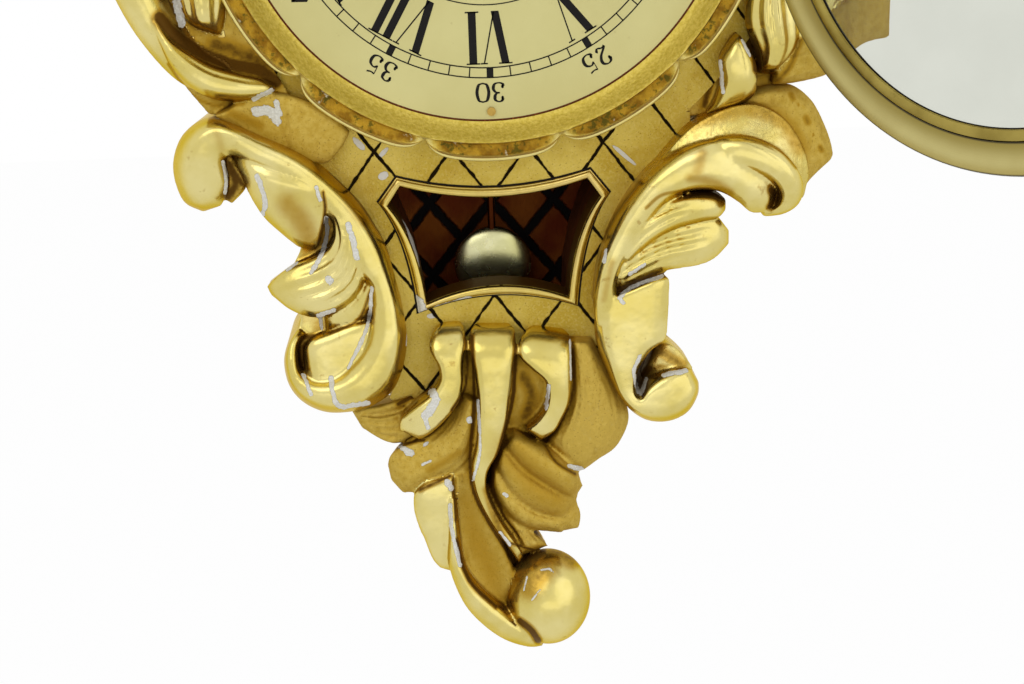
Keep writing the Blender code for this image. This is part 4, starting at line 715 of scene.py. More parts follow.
DROP_LEFT_TIP = (
    (426, 480, 454, 474, 9), (415, 492, 454, 498, 10), (414, 510, 454, 520, 10), (420, 530, 454, 540, 10),
    (424, 538, 454, 556, 9), (432, 558, 453, 568, 7), (440, 568, 451, 571, 5),
)
DROP_RIGHT_LEAF = (
    (568, 338, 592, 338, 7), (568, 372, 608, 368, 10), (564, 402, 624, 398, 11), (554, 428, 629, 420, 11),
    (548, 444, 617, 446, 10), (560, 462, 599, 459, 8), (572, 472, 584, 470, 5),
)
DROP_LOW_LEAF = (
    (502, 428, 540, 438, 8), (493, 460, 560, 452, 8.5), (490, 487, 577, 470, 8.5), (498, 508, 581, 484, 8),
    (514, 522, 577, 500, 7), (538, 528, 581, 514, 6), (562, 531, 579, 528, 5),
)
DROP_FOLDS = (
    ((514, 430, 500, 446, 10), (546, 446, 522, 472, 14), (572, 466, 550, 490, 14), (583, 486, 572, 502, 9)),
    ((502, 442, 493, 466, 10), (526, 466, 508, 496, 12.5), (553, 485, 535, 514, 12.5), (576, 500, 565, 521, 8)),
    ((494, 460, 489, 488, 9), (513, 488, 503, 513, 11), (538, 510, 524, 528, 10.5), (570, 519, 562, 533, 7)),
)
DROP_STRAP = ((486, 488, 506, 498, 9), (497, 513, 520, 522, 10), (508, 532, 536, 534, 10), (520, 556, 548, 546, 9))
DROP_LIP = (
    (449, 492, 456, 494, 11), (448, 530, 460, 533, 14), (449, 566, 466, 566, 16), (463, 602, 484, 590, 17),
    (483, 625, 503, 606, 17), (505, 640, 521, 621, 16), (528, 647, 534, 632, 14), (543, 646, 543, 640, 11),
)
DROP_CUP = (
    (455, 472, 482, 470, 9), (455, 505, 490, 508, 7), (459, 540, 505, 545, 7), (468, 570, 516, 575, 8),
    (488, 598, 516, 598, 9), (500, 610, 516, 608, 8),
)
DROP_BACKING = (
    (440, 334, 592, 338, -2), (445, 352, 596, 356, 1), (446, 376, 600, 380, 3), (436, 405, 606, 408, 2),
    (405, 440, 590, 440, 0), (425, 480, 562, 480, -3), (440, 540, 530, 538, -3), (470, 592, 545, 590, -4),
)
FINE = tuple((u, 0.06, 0.8, 0.05, 0.95) for u in (-0.7, -0.5, -0.3, -0.1, 0.12, 0.34, 0.56, 0.78))
SWEEPS = (
    (-0.5, 0.2, 3.4, 0, 0.95), (-0.08, 0.16, 3.2, 0.1, 1), (0.28, 0.16, 3.2, 0.2, 1), (0.62, 0.14, 2.6, 0.3, 1),
)
DROP_CHIPS = (
    (4, (432, 392), (436, 400), (426, 415)), (2, (424, 415), (428, 428)), (3.4, (402, 448), (412, 454)),
    (2.6, (469, 419), (470, 421)), (2, (450, 505), (452, 530), (460, 565)), (3, (447, 482), (451, 488)),
    (1.5, (478, 400), (480, 450), (473, 480)), (2.6, (570, 466), (582, 469)), (2.2, (549, 386), (546, 408)),
    (1.8, (504, 494), (507, 496)), (1.6, (422, 465), (430, 461)), (2, (425, 445), (427, 443)),
    (1.6, (500, 532), (510, 545)), (1, (570, 340), (571, 380)), (1, (541, 570), (549, 569), (553, 572)),
    (0.9, (527, 577), (524, 590)), (0.9, (532, 600), (540, 590)),
)
DROP_SHADE = (
    (2.5, 0.9, (472, 336), (474, 400), (470, 462), (476, 498), (500, 540), (518, 566)),
    (2.5, 0.9, (516, 334), (513, 396), (502, 440), (490, 480)), (6, 0.6, (488, 490), (500, 530), (516, 566)),
    (3, 0.8, (456, 540), (469, 580), (496, 607)), (11, 0.55, (520, 574), (534, 557), (554, 551), (572, 560)),
    (4, 1, (520, 621), (530, 629), (538, 640)), (9, 0.6, (524, 376), (532, 396), (526, 416)),
    (2, 0.8, (466, 336), (466, 384), (452, 410)), (26, 0.3, (512, 452), (532, 474), (556, 500)),
    (2, 0.8, (573, 342), (572, 396), (560, 424)), (2.5, 0.7, (543, 442), (556, 462), (575, 474)),
    (2, 0.8, (425, 440), (400, 444)), (3, 0.8, (398, 404), (430, 388)),
    (16, 0.32, (466, 500), (477, 540), (494, 585)), (15, 0.5, (545, 568), (528, 588)),
    (4, 0.6, (548, 332), (572, 338)), (2.5, 0.6, (454, 480), (456, 520)), (3, 0.7, (420, 490), (450, 476)),
    (6, 0.35, (430, 470), (460, 452)), (2, 0.8, (500, 540), (540, 552)),
)


def ball(px, py, rise, radius, tall):
    bpy.ops.object.select_all(action="DESELECT")
    bpy.ops.mesh.primitive_uv_sphere_add(segments=48, ring_count=24, radius=radius,
                                         location=at(px, py, rise), scale=(1, 0.94, tall))
    bpy.ops.object.transform_apply(location=True, rotation=True, scale=True)
    return bpy.context.active_object


carve("carved_drop", [
    leaf(DROP_STEM, section=flat_section, edges=(0.8, 0.8), floor=(10, 4), caps=(4, 8)),
    leaf(DROP_LEFT_SCROLL, section=flat_section, edges=(0.8, 0.8), floor=(10, 8), caps=(4, 6)),
    leaf(DROP_RIGHT_SCROLL, section=flat_section, edges=(0.8, 0.8), floor=(10, 8), caps=(4, 6)),
    leaf(DROP_BEHIND_LEFT, edges=(0.3, 0.3), floor=(18, 12), flutes=SWEEPS, matt=1),
    leaf(DROP_LEFT_LEAF, section=roof_section, edges=(0.4, 0.5), floor=(18, 10), flutes=FINE, matt=1),
    leaf(DROP_LEFT_TIP, section=flat_section, edges=(0.6, 0.8), floor=(18, 8)),
    leaf(DROP_RIGHT_LEAF, section=soft_section, edges=(0.4, 0.3), floor=(18, 10), flutes=FINE, matt=0.62),
    leaf(DROP_LOW_LEAF, section=soft_section, edges=(0.4, 0.3), floor=(18, 8), matt=1),
    *[leaf(rows, edges=(0.5, 0.5), floor=(12, 8), matt=1) for rows in DROP_FOLDS],
    leaf(DROP_STRAP, edges=(0.4, 0.4), floor=(14, 10), flutes=SWEEPS, matt=0.6),
    leaf(DROP_LIP, edges=(0.6, 0.6), floor=(18, 10)),
    leaf(DROP_CUP, section=cup_section, edges=(0.6, 0.6), floor=(18, 10), matt=0.8),
    leaf(DROP_BACKING, section=flat_section, edges=(1, 1), floor=(28, 14), matt=1),
], chips=DROP_CHIPS, shades=DROP_SHADE, extra=[ball(548, 596, 4, 0.0190, 1.16)])

# %% [markdown]
# ## The wings and the crest
# Beside the dial and above it the picture is cut off. There the carving goes on in the same manner,
# drawn in millimetres on the panel: a band beside the dial, leaves on it, and a crest of plumes over two C-scrolls.

# %% Carve the wings and the crest
NEAR_SHARE, FAR_SHARE = 0.7, 0.3


def spine(rows, first, last):
    """Edges of a leaf from points along its middle: x, z, half width and rise, in mm. The ends can taper."""
    rows = np.array(rows, float)
    start = rows[:1] * NEAR_SHARE + rows[1:2] * FAR_SHARE
    end = rows[-1:] * NEAR_SHARE + rows[-2:-1] * FAR_SHARE
    rows = np.concatenate((rows[:1], start, rows[1:-1], end, rows[-1:]))
    rows[0, 2:] *= first, 0.5 + first / 2
    rows[-1, 2:] *= last, 0.5 + last / 2
    ahead = np.gradient(rows[:, :2], axis=0)
    side = np.stack((-ahead[:, 1], ahead[:, 0]), axis=1) / np.hypot(*ahead.T)[:, None] * rows[:, 2:3]
    return np.concatenate((rows[:, :2] + side, rows[:, :2] - side, rows[:, 3:]), axis=1)


def plume(rows, first, last, **look):
    """A leaf drawn along its middle, in mm."""
    return leaf(spine(rows, first, last), drawn, **look)


VEINS = ((-0.5, 0.16, 2.2, 0.05, 1), (0.0, 0.14, 2.4, 0.05, 1), (0.5, 0.16, 2.2, 0.05, 1))
SMALL_PLUME = {"edges": (0.4, 0.4), "floor": (24, 8), "flutes": VEINS, "caps": (4, 4)}
LEFT_FOOT = (
    (350, 132, 342, 148, 5), (337, 118, 324, 164, 6), (312, 102, 292, 154, 8), (288, 94, 258, 140, 9),
    (266, 93, 232, 126, 10), (240, 100, 214, 116, 10),
)
LEFT_WING_LEAF = (
    (275, 86, 273, 93, 13), (262, 80, 254, 100, 15), (240, 75, 236, 102, 17), (212, 67, 212, 99, 18),
    (188, 53, 190, 88, 18), (170, 38, 172, 70, 17), (160, 24, 160, 48, 15), (154, 8, 150, 28, 13),
)
LEFT_WING_GROUND = (
    (120, -40, 224, -40, 3), (126, 0, 238, 0, 3), (142, 30, 254, 36, 3), (160, 56, 276, 72, 3),
    (184, 86, 296, 102, 3), (208, 114, 318, 136, 3),
)
LEFT_WING_FOLDS = (
    (165, -50, 220, -65, 14), (172, -15, 226, -25, 16), (178, 5, 226, 0, 16), (183, 18, 224, 20, 14),
    (196, 28, 221, 35, 10),
)
LEFT_WING_BAND = (
    (-104, -80, 7, 10), (-120, -69, 8, 12), (-131, -52, 9, 13), (-139, -30, 10, 14), (-145, -5, 11, 16),
    (-147, 20, 10, 16), (-143, 45, 9, 16), (-134, 64, 5, 12),
)
LEFT_WING_MORE = (
    ((-112, -40, 8, 12), (-120, -32, 9, 16), (-125, -20, 9, 18), (-126, -6, 6, 16)),
    ((-126, -2, 8, 13), (-130, 14, 9, 18), (-131, 32, 8, 18), (-126, 48, 3, 12)),
    ((-143, -6, 8, 14), (-156, 8, 7, 15), (-166, 24, 5, 13), (-169, 38, 2, 10)),
)
RIGHT_WING_LEAF = (
    (738, 34, 741, 36, 13), (728, 46, 750, 50, 16), (719, 62, 757, 66, 17), (721, 82, 757, 86, 16),
    (714, 104, 752, 98, 13), (706, 114, 735, 108, 9),
)
RIGHT_WING_GROUND = (
    (730, -40, 806, -40, 0), (728, 0, 806, -5, 0), (714, 40, 804, 30, -1), (700, 72, 796, 60, -1.5),
    (690, 98, 780, 84, -1.5), (682, 118, 748, 108, -1.5),
)
RIGHT_WING_UPPER = (
    (760, -60, 812, -70, 16), (752, -25, 804, -35, 17), (747, 0, 798, -5, 18), (745, 25, 802, 20, 18),
    (754, 50, 800, 46, 16), (758, 73, 782, 72, 12),
)
RIGHT_WING_TIP = (
    (778, 52, 772, 85, 9), (805, 30, 800, 82, 10), (835, 5, 832, 72, 11), (862, -12, 862, 45, 11),
    (892, -15, 890, 37, 9),
)
RIGHT_WING_BAND = (
    (108, -80, 7, 8), (124, -68, 8, 9), (136, -48, 9, 11), (143, -20, 9, 13), (147, 6, 9, 15), (146, 30, 9, 15),
    (138, 54, 5, 12),
)
RIGHT_WING_MORE = (
    ((144, 8, 8, 13), (157, 21, 7, 14), (166, 36, 4.5, 12), (169, 50, 2, 10)),
    ((136, 34, 7, 13), (131, 50, 7, 16), (123, 62, 3, 11)),
)
LEFT_WING_CHIPS = (
    (5, (256, 112), (270, 110), (278, 122)), (3, (276, 102), (280, 114)), (2.4, (254, 99), (272, 90)),
    (4, (176, 0), (182, 24)),
)
LEFT_WING_SHADE = (
    (8, 1, (160, 18), (176, 36), (200, 52), (230, 64), (258, 70), (276, 82)),
    (12, 0.6, (215, 45), (245, 55), (268, 66)), (2, 0.5, (168, 64), (190, 93), (214, 105), (244, 104)),
    (3, 0.8, (290, 92), (312, 100), (336, 118)), (6, 0.4, (230, 112), (260, 125)),
)
RIGHT_WING_CHIPS = ((2.4, (720, 62), (723, 92)), (1.6, (742, 40), (750, 56)))
RIGHT_WING_SHADE = (
    (3.5, 1, (742, 26), (753, 48), (756, 70)), (5, 0.7, (714, 44), (712, 78), (704, 106)),
    (2.5, 0.8, (706, 118), (740, 104), (764, 88)), (4, 0.6, (800, 40), (790, 66), (776, 82)),
)

carve("carved_left_wing", [
    plume(LEFT_WING_BAND, 0.6, 0.35, edges=(0.4, 0.3), floor=(28, 24), caps=(4, 8)),
    leaf(LEFT_FOOT, section=flat_section, edges=(0.7, 0.8), floor=(10, 24), matt=1),
    leaf(LEFT_WING_GROUND, section=flat_section, edges=(1, 1), floor=(26, 26), matt=0.7),
    leaf(LEFT_WING_LEAF, section=soft_section, edges=(0.7, 0.5), floor=(10, 10),
         flutes=((-0.62, 0.14, 1.4, 0.05, 0.8),)),
    leaf(LEFT_WING_FOLDS, edges=(0.4, 0.3), floor=(10, 6), flutes=VEINS),
    *[plume(rows, 0.35, 0.3, **SMALL_PLUME) for rows in LEFT_WING_MORE],
], chips=LEFT_WING_CHIPS, shades=LEFT_WING_SHADE)
carve("carved_right_wing", [
    plume(RIGHT_WING_BAND, 0.6, 0.35, edges=(0.3, 0.4), floor=(28, 24), caps=(4, 8)),
    leaf(RIGHT_WING_GROUND, section=flat_section, edges=(1, 1), floor=(26, 26), matt=0.7),
    leaf(RIGHT_WING_LEAF, section=soft_section, edges=(0.6, 0.7), floor=(10, 10)),
    leaf(RIGHT_WING_UPPER, edges=(0.4, 0.4), floor=(14, 8), flutes=VEINS),
    leaf(RIGHT_WING_TIP, section=flat_section, edges=(0.5, 0.5), floor=(18, 8), flutes=FINE, matt=0.8),
    *[plume(rows, 0.35, 0.3, **SMALL_PLUME) for rows in RIGHT_WING_MORE],
], chips=RIGHT_WING_CHIPS, shades=RIGHT_WING_SHADE)

CREST_BACKING = (
    (0, 104, 50, 10), (0, 118, 66, 10), (0, 134, 60, 10), (0, 158, 46, 10), (2, 186, 32, 10), (6, 214, 18, 10),
    (10, 232, 6, 10),
)
CREST_SCROLLS = (
    (
        (-112, 58, 6, 13), (-116, 75, 8, 17), (-110, 94, 10, 20), (-94, 112, 11, 23), (-74, 124, 11, 25),
        (-54, 134, 11, 26), (-40, 150, 10, 26), (-38, 168, 8, 25), (-47, 180, 7, 22), (-60, 177, 4, 18),
    ),
    (
        (112, 58, 6, 13), (116, 75, 8, 17), (110, 94, 10, 20), (94, 112, 11, 23), (74, 124, 11, 25),
        (54, 134, 11, 26), (41, 150, 10, 26), (40, 166, 8, 25), (49, 177, 7, 22), (61, 173, 4, 18),
    ),
)
CREST_PLUMES = (
    (
        (0, 138, 14, 20), (0, 165, 18, 24), (0, 192, 18, 27), (4, 220, 16, 27), (10, 246, 12, 25), (20, 266, 8, 22),
        (32, 284, 4, 16),
    ),
    ((-8, 150, 10, 20), (-20, 182, 13, 23), (-30, 212, 12, 23), (-40, 238, 9, 21), (-52, 258, 4, 15)),
    ((10, 150, 10, 20), (28, 180, 13, 23), (44, 204, 12, 22), (58, 224, 8, 20), (72, 236, 4, 14)),
)
CREST_LEAVES = (
    ((-86, 108, 9, 14), (-106, 112, 10, 18), (-124, 122, 9, 18), (-137, 140, 4, 13)),
    ((86, 108, 9, 14), (108, 110, 10, 18), (127, 119, 9, 18), (141, 135, 4, 13)),
    ((-44, 150, 9, 16), (-64, 168, 10, 18), (-82, 190, 8, 17), (-92, 212, 3, 12)),
    ((44, 148, 9, 16), (66, 164, 10, 18), (86, 182, 8, 17), (102, 200, 3, 12)),
)
carve("carved_crest", [
    plume(CREST_BACKING, 1, 1, section=flat_section, edges=(0.8, 0.8), floor=(24, 12), caps=(4, 4), matt=1),
    *[plume(r, 0.45, 0.45, edges=(0.4, 0.4), floor=(24, 14), caps=(6, 6)) for r in CREST_SCROLLS],
    *[plume(r, 0.35, 0.25, edges=(0.45, 0.45), floor=(24, 10), flutes=VEINS, caps=(6, 4)) for r in CREST_PLUMES],
    *[plume(r, 0.5, 0.25, edges=(0.4, 0.4), floor=(24, 8), flutes=VEINS, caps=(6, 4), matt=0.7) for r in CREST_LEAVES],
], voxel=0.00118)

# %% [markdown]
# ## The ring round the dial
# A cove leads from the dial out to a lip, and twelve lobes stand round it, each scooped out with a gouge.
# A lathe can't make lobes. So one radial section is laid at every half degree, and its outer part follows the lobe.

# %% Shape the dial surround
LOBES = 12
SIGHT_RADIUS, LIP_RADIUS, LOBE_RADIUS, REBATE_RADIUS = 98, 105, 113.5, 104.4
SPOKES, COVE_STEPS, LOBE_STEPS = 720, 14, 30
SCOOP_PLACES = (0, 0.08, 0.2, 0.5, 0.68, 0.76, 1)
SCOOP_DEPTHS = (0, 0.75, 1, 0.8, 0.62, 0, 0)
SEAT_GAP = 0.0004


def surround():
    """The ring's points, section by section, and its paint."""
    turn = np.linspace(0, 2 * math.pi, SPOKES, endpoint=False)
    off = (turn + math.pi / LOBES) % (2 * math.pi / LOBES) - math.pi / LOBES
    share = np.abs(off) / (math.pi / LOBES)
    outer = LOBE_RADIUS - 6.6 * share**7 - 0.8 * share**2
    cove = np.linspace(0, 1, COVE_STEPS)
    lobe = np.linspace(0, 1, LOBE_STEPS)[1:]
    inner = np.tile(SIGHT_RADIUS + (LIP_RADIUS - SIGHT_RADIUS) * cove, (SPOKES, 1))
    radius = np.concatenate((inner, LIP_RADIUS + (outer[:, None] - LIP_RADIUS) * lobe), axis=1)
    scoop = np.interp(lobe, SCOOP_PLACES, SCOOP_DEPTHS) * (1 - share[:, None] ** 5)
    marks = np.sin(turn * 61 + np.sin(turn * 7) * 2)[:, None] * 0.35 * scoop
    rise = 12.3 - 5.4 * scoop + marks - 2.6 * lobe - 8.5 * np.clip((lobe - 0.86) / 0.14, 0, 1) ** 3
    hollow = 1.9 + 10.4 * cove**1.7 - 1.1 * np.clip((cove - 0.85) / 0.15, 0, 1) ** 2
    rise = np.concatenate((np.tile(hollow, (SPOKES, 1)), rise), axis=1)
    points = drawn(radius * np.sin(turn)[:, None], radius * np.cos(turn)[:, None], rise)
    back = points[:, [-1, 0]].copy()
    back[..., 1] = -(PANEL_FRONT + SEAT_GAP)
    lip = points[:, [0]].copy()
    for edge in (back[:, 1], lip[:, 0]):
        edge *= (REBATE_RADIUS / SIGHT_RADIUS, 1, REBATE_RADIUS / SIGHT_RADIUS)
    matt = np.concatenate((np.full((SPOKES, COVE_STEPS), 0.8), 0.9 * np.clip(scoop * 1.6, 0, 1)), axis=1)
    deep = np.concatenate((np.full((SPOKES, COVE_STEPS), 0.12), 0.62 * np.clip(scoop * 1.3, 0, 1)), axis=1)
    painted = np.pad(np.stack((matt, deep, np.zeros_like(matt)), axis=-1), ((0, 0), (0, 3), (0, 0)))
    return np.concatenate((points, back, lip), axis=1), painted.reshape(-1, 3)


def rings(points):
    """Corners and faces of a ring whose sections are closed too."""
    count, size = points.shape[:2]
    index = np.arange(count * size).reshape(count, size)
    side, ahead = np.roll(index, -1, axis=1), np.roll(index, -1, axis=0)
    both = np.roll(side, -1, axis=0)
    return points.reshape(-1, 3), np.stack((index, side, both, ahead), axis=-1).reshape(-1, 4).tolist()


def finished(piece, material, body, nodes=(), slot=None, angle=40):
    """Smooths a piece, gives it its finish and lets it ride."""
    only(piece)
    bpy.ops.object.shade_smooth_by_angle(angle=math.radians(angle))
    piece.data.materials.clear()
    piece.data.materials.append(material)
    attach(piece, body)
    if nodes:
        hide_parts(*nodes)
    slot or slot_of(nodes[0])
    print(piece.name, "has", len(piece.data.polygons), "faces")


def tarnished_gilt():
    gilt = Finish("tarnished_gilt", gleam=0.3, edge=GOLD_EDGE)
    matt, deep, chip = gilt.split("gilding")
    cloud = gilt.noise(60, 4)
    patch = gilt.noise(130, 3)
    grain = gilt.noise(700, 4)
    spot = gilt.noise(380, 4, 0.6)
    bright = gilt.mix(cloud, srgb(216, 200, 120), srgb(230, 216, 144))
    dull = gilt.mix(grain.step(0.3, 0.7), srgb(196, 172, 70), srgb(218, 196, 98))
    colour = gilt.mix(matt.step(0.3, 0.7), bright, dull)
    scoop = (deep + (patch - 0.5) * 0.5).step(0.25, 0.55)
    brown = gilt.mix(patch.step(0.4, 0.6), srgb(196, 154, 42), srgb(136, 90, 6))
    colour = gilt.mix(scoop * 0.85, colour, brown)
    green = scoop * (spot + (cloud - 0.5) * 0.6).step(0.52, 0.62)
    colour = gilt.mix(green * 0.75, colour, srgb(72, 78, 26))
    worn = scoop * (patch + grain * 0.3).step(0.78, 0.84)
    colour = gilt.mix(worn, colour, srgb(214, 206, 176))
    gloss = 0.24 + matt * 0.3 + scoop * 0.1 + grain * 0.1
    normal = gilt.bump(grain * (0.3 + matt * 0.6) + patch * scoop * 2.0, 0.0005)
    metal = 0.8 - matt * 0.25 - green * 0.4 - worn * 0.4
    return gilt.set(base_color=colour, roughness=gloss, metallic=metal, normal=normal)


corners, painted = surround()
ring = mesh_piece("gouged_surround", *rings(corners))
paint(ring, painted)
finished(ring, tarnished_gilt(), "case", ("dial_surround",), angle=60)

# %% [markdown]
# ## The trellis panel
# The front panel is matt gold with a trellis of black grooves. Cutting them as mesh would take very many faces.
# Two families of slanting lines are easily written as sums, so the grooves are a finish with bump on the plain solid.

# %% Trellis finishes
PANEL_TRELLIS = {"node": (0.0143, -0.109), "across": 0.0312, "down": 0.042, "width": 0.00072}
BOARD_TRELLIS = {"node": (0.0009, -0.1454), "across": 0.0279, "down": 0.034, "width": 0.0026}


def trellis(finish, x, z, node, across, down, width):
    """1 in the grooves of a trellis with a node at a point, and 0 between them."""
    wobble = (finish.noise(55, 2) - 0.5) * 0.05
    a = (x - node[0]) / across
    b = (z - node[1]) / down
    slope = math.hypot(1 / across, 1 / down)
    near = (a + b + wobble).math("PINGPONG", 0.5).math("MINIMUM", (a - b + wobble).math("PINGPONG", 0.5))
    ragged = near / slope + (finish.noise(240, 3) - 0.5) * 0.0017
    return 1 - ragged.step(width * 0.55, width)


# Worn patches of the panel: middle, half length and half width in pixels, and the turn in degrees.
PANEL_PATCHES = (
    (359, 144, 9, 3.4, -49), (383, 153, 8, 2.6, 45), (383, 176, 6.5, 4.6, 20), (624, 155, 18, 2.2, -42),
    (431, 316, 5, 3, 0),
)


def patches(finish, x, z):
    """1 on the worn patches, with ragged borders."""
    pixel_size = at(1, 0, 0)[0] - at(0, 0, 0)[0]
    near = None
    for px, py, half_length, half_width, turn in PANEL_PATCHES:
        middle = at(px, py, 0)
        ahead, aside = math.cos(math.radians(turn)), math.sin(math.radians(turn))
        right, up = x - middle[0], z - middle[2]
        along = (right * ahead + up * aside) / (half_length * pixel_size)
        across = (up * ahead - right * aside) / (half_width * pixel_size)
        far = along * along + across * across
        near = near.math("MINIMUM", far) if near else far
    return 1 - (near + (finish.noise(330, 3) - 0.5) * 1.6).step(0.8, 1.0)


def trellis_gilt():
    gilt = Finish("trellis_gilt", gleam=0.12, edge=GOLD_EDGE)
    x, y, z = gilt.axes()
    front = 0 - y
    groove = trellis(gilt, x, z, **PANEL_TRELLIS) * front.step(0.0612, 0.0617)
    cloud = gilt.noise(40, 4)
    grain = gilt.noise(900, 4)
    speck = gilt.noise(1600, 2)
    colour = gilt.mix(cloud.step(0.3, 0.7), srgb(182, 154, 56), srgb(206, 182, 88))
    colour = gilt.mix(grain.step(0.45, 0.75) * 0.5, colour, srgb(210, 190, 112))
    colour = gilt.mix(gilt.noise(26, 5, 0.6).step(0.5, 0.7) * 0.5, colour, srgb(162, 126, 28))
    colour = gilt.mix(speck.step(0.64, 0.7) * 0.8, colour, srgb(128, 98, 34))
    reveal = front.step(0.0618, 0.061) * x.math("ABSOLUTE").step(0.052, 0.051)
    reveal = reveal * z.step(-0.182, -0.181) * z.step(-0.116, -0.117)
    colour = gilt.mix(reveal, colour, srgb(70, 44, 12))
    chip = gilt.noise(46, 2, 0.5).step(0.70, 0.715).math("MAXIMUM", patches(gilt, x, z))
    colour = gilt.mix(chip, colour, srgb(216, 212, 202))
    colour = gilt.mix(groove, colour, srgb(20, 13, 6))
    height = grain * 0.4 + speck * 0.4 - groove * 4.5 - chip * 0.6
    gloss = 0.46 + groove * 0.3 + chip * 0.3
    metal = (1 - groove) * (1 - chip) * (0.55 - reveal * 0.4)
    return gilt.set(base_color=colour, roughness=gloss, metallic=metal, normal=gilt.bump(height, COARSE_BUMP))


def stained_wood(name, lattice):
    wood = Finish(name, gleam=0.15)
    x, y, z = wood.axes()
    streak = wood.noise(30, 4, 0.6, (9, 9, 1))
    pore = wood.noise(160, 3, 0.6, (8, 8, 0.6))
    colour = wood.mix(streak.step(0.3, 0.7), srgb(70, 34, 16), srgb(104, 56, 26))
    colour = wood.mix(pore.step(0.55, 0.7) * 0.5, colour, srgb(40, 18, 8))
    height = pore * 0.6
    gloss = 0.5 + streak * 0.15
    if lattice:
        front = (0 - y).step(0.0056, 0.0059) * (0 - z).step(0.08, 0.1)
        groove = trellis(wood, x, z, **BOARD_TRELLIS) * front
        stain = wood.mix(wood.noise(34, 4).step(0.35, 0.65), srgb(112, 40, 6), srgb(150, 82, 18))
        colour = wood.mix(front * 0.9, colour, stain)
        colour = wood.mix(groove, colour, srgb(8, 4, 3))
        height = height - groove * 5
        gloss = gloss + front * 0.2
    return wood.set(base_color=colour, roughness=gloss, normal=wood.bump(height, COARSE_BUMP))


TRELLIS_GILT = trellis_gilt()
BOARD_WOOD = stained_wood("board_wood", True)
CASE_WOOD = stained_wood("case_wood", False)
print("trellis finish has", len(TRELLIS_GILT.node_tree.nodes), "nodes")

# %% [markdown]
# ## The skirt of the panel
# Beside the window the trellis runs on under the scrolls. Thin plates carry it there, a hair behind the panel's face.
# Their outline was drawn on the picture. Extruding one face back gives the plate its thickness.

# %% Cut the skirt
LEFT_SKIRT = (
    (352, 150), (330, 140), (300, 146), (312, 168), (338, 189), (360, 214), (384, 250), (396, 292), (401, 330),
    (400, 368), (390, 398), (404, 412), (424, 412), (446, 396), (446, 322), (424, 318), (404, 262), (380, 200),
)
RIGHT_SKIRT = (
    (640, 112), (690, 112), (690, 150), (664, 178), (640, 208), (620, 246), (608, 280), (603, 320), (606, 356),
    (616, 384), (592, 384), (574, 352), (576, 316), (582, 286), (590, 258), (598, 232), (611, 206), (616, 180),
)
SKIRT_RISE, SKIRT_DEPTH = -0.2, 0.008


def plate(name, outline, rise, thick):
    """A flat plate with its front at some mm before the panel."""
    outline = np.array(outline, float)
    front = at(outline[:, 0], outline[:, 1], rise)
    back = {"value": (0, thick, 0)}
    piece = mesh_piece(name, front, [list(range(len(front)))])
    return edited(piece, lambda: bpy.ops.mesh.extrude_region_move(TRANSFORM_OT_translate=back))


for name, outline in (("left_skirt", LEFT_SKIRT), ("right_skirt", RIGHT_SKIRT)):
    skirt = plate(name, outline, SKIRT_RISE, SKIRT_DEPTH)
    finished(skirt, TRELLIS_GILT, "case", slot="matt_gilt", angle=30)

# %% [markdown]
# ## The rim of the window
# A narrow gold moulding frames the window, with bowed top and bottom and cut upper corners.
# Its section is laid on outlines that grow step by step from the opening, and a dark line of painted shadow runs round
# its foot.

# %% Sweep the window rim
WINDOW_HALF, WINDOW_HIGH, WINDOW_TOP, WINDOW_FOOT = 44, 51, -123.5, -174.5


def parabola(a, b, c, steps):
    t = np.arange(steps)[:, None] / steps
    weights = ((1 - t) * (1 - 2 * t), 4 * t * (1 - t), t * (2 * t - 1))
    return sum(w * np.array(p, float) for w, p in zip(weights, (a, b, c)))


def window_outline(grow, steps=24):
    """The opening's outline in mm, clockwise from the top, grown by some mm."""
    half, high, top, foot = WINDOW_HALF, WINDOW_HIGH, WINDOW_TOP, WINDOW_FOOT
    corner = (0.875 * half + 0.35 * grow, top + grow)
    shoulder = (half + grow, top - 0.157 * high + 0.4 * grow)
    waist = (0.79 * half + grow, top - 0.51 * high)
    low = (0.68 * half + grow, foot - grow)
    top_middle = (0, top - 0.118 * high + grow)
    low_middle = (0, foot + 0.127 * high - grow)
    upper = parabola((-corner[0], corner[1]), top_middle, corner, 2 * steps)
    right = np.vstack((upper[steps:], parabola(corner, (np.array(corner) + shoulder) / 2, shoulder, 6)))
    right = np.vstack((right, parabola(shoulder, waist, low, steps)))
    under = parabola(low, low_middle, (-low[0], low[1]), 2 * steps)
    right = np.vstack((right, under[: steps + 1]))
    left = right[1:-1][::-1] * (-1, 1)
    return np.vstack((right, left))


def swept(profile):
    """A ring of sections along the window's outline, from pairs of growth and rise."""
    lines = [window_outline(grow) for grow, rise in profile]
    points = [drawn(line[:, 0], line[:, 1], rise) for line, (grow, rise) in zip(lines, profile)]
    return np.stack(points, axis=1)


RIM = (
    (0, 0.4), (0, 1.7), (0.35, 2.3), (0.9, 2.6), (1.6, 2.7), (2.4, 2.55), (3.0, 2.1), (3.3, 1.5), (3.6, 1.4),
    (3.8, 1.0), (3.8, 0.4),
)
RIM_SHADOW_LINE = ((3.6, 0.02), (3.6, 0.3), (4.5, 0.3), (4.5, 0.02))
RIM_CHIPS = ((4, (418, 300), (424, 312)), (2.5, (437, 308), (470, 298)), (2, (392, 178), (380, 195)))
RIM_MATT, RIM_DEEP = 0.1, 0.24
rim = mesh_piece("window_moulding", *rings(swept(RIM)))
bare = chipped(corners_of(rim), RIM_CHIPS)
paint(rim, np.stack((np.full(len(bare), RIM_MATT), np.full(len(bare), RIM_DEEP), bare), axis=1))
finished(rim, CARVED_GILT, "case", ("window_rim",), angle=35)


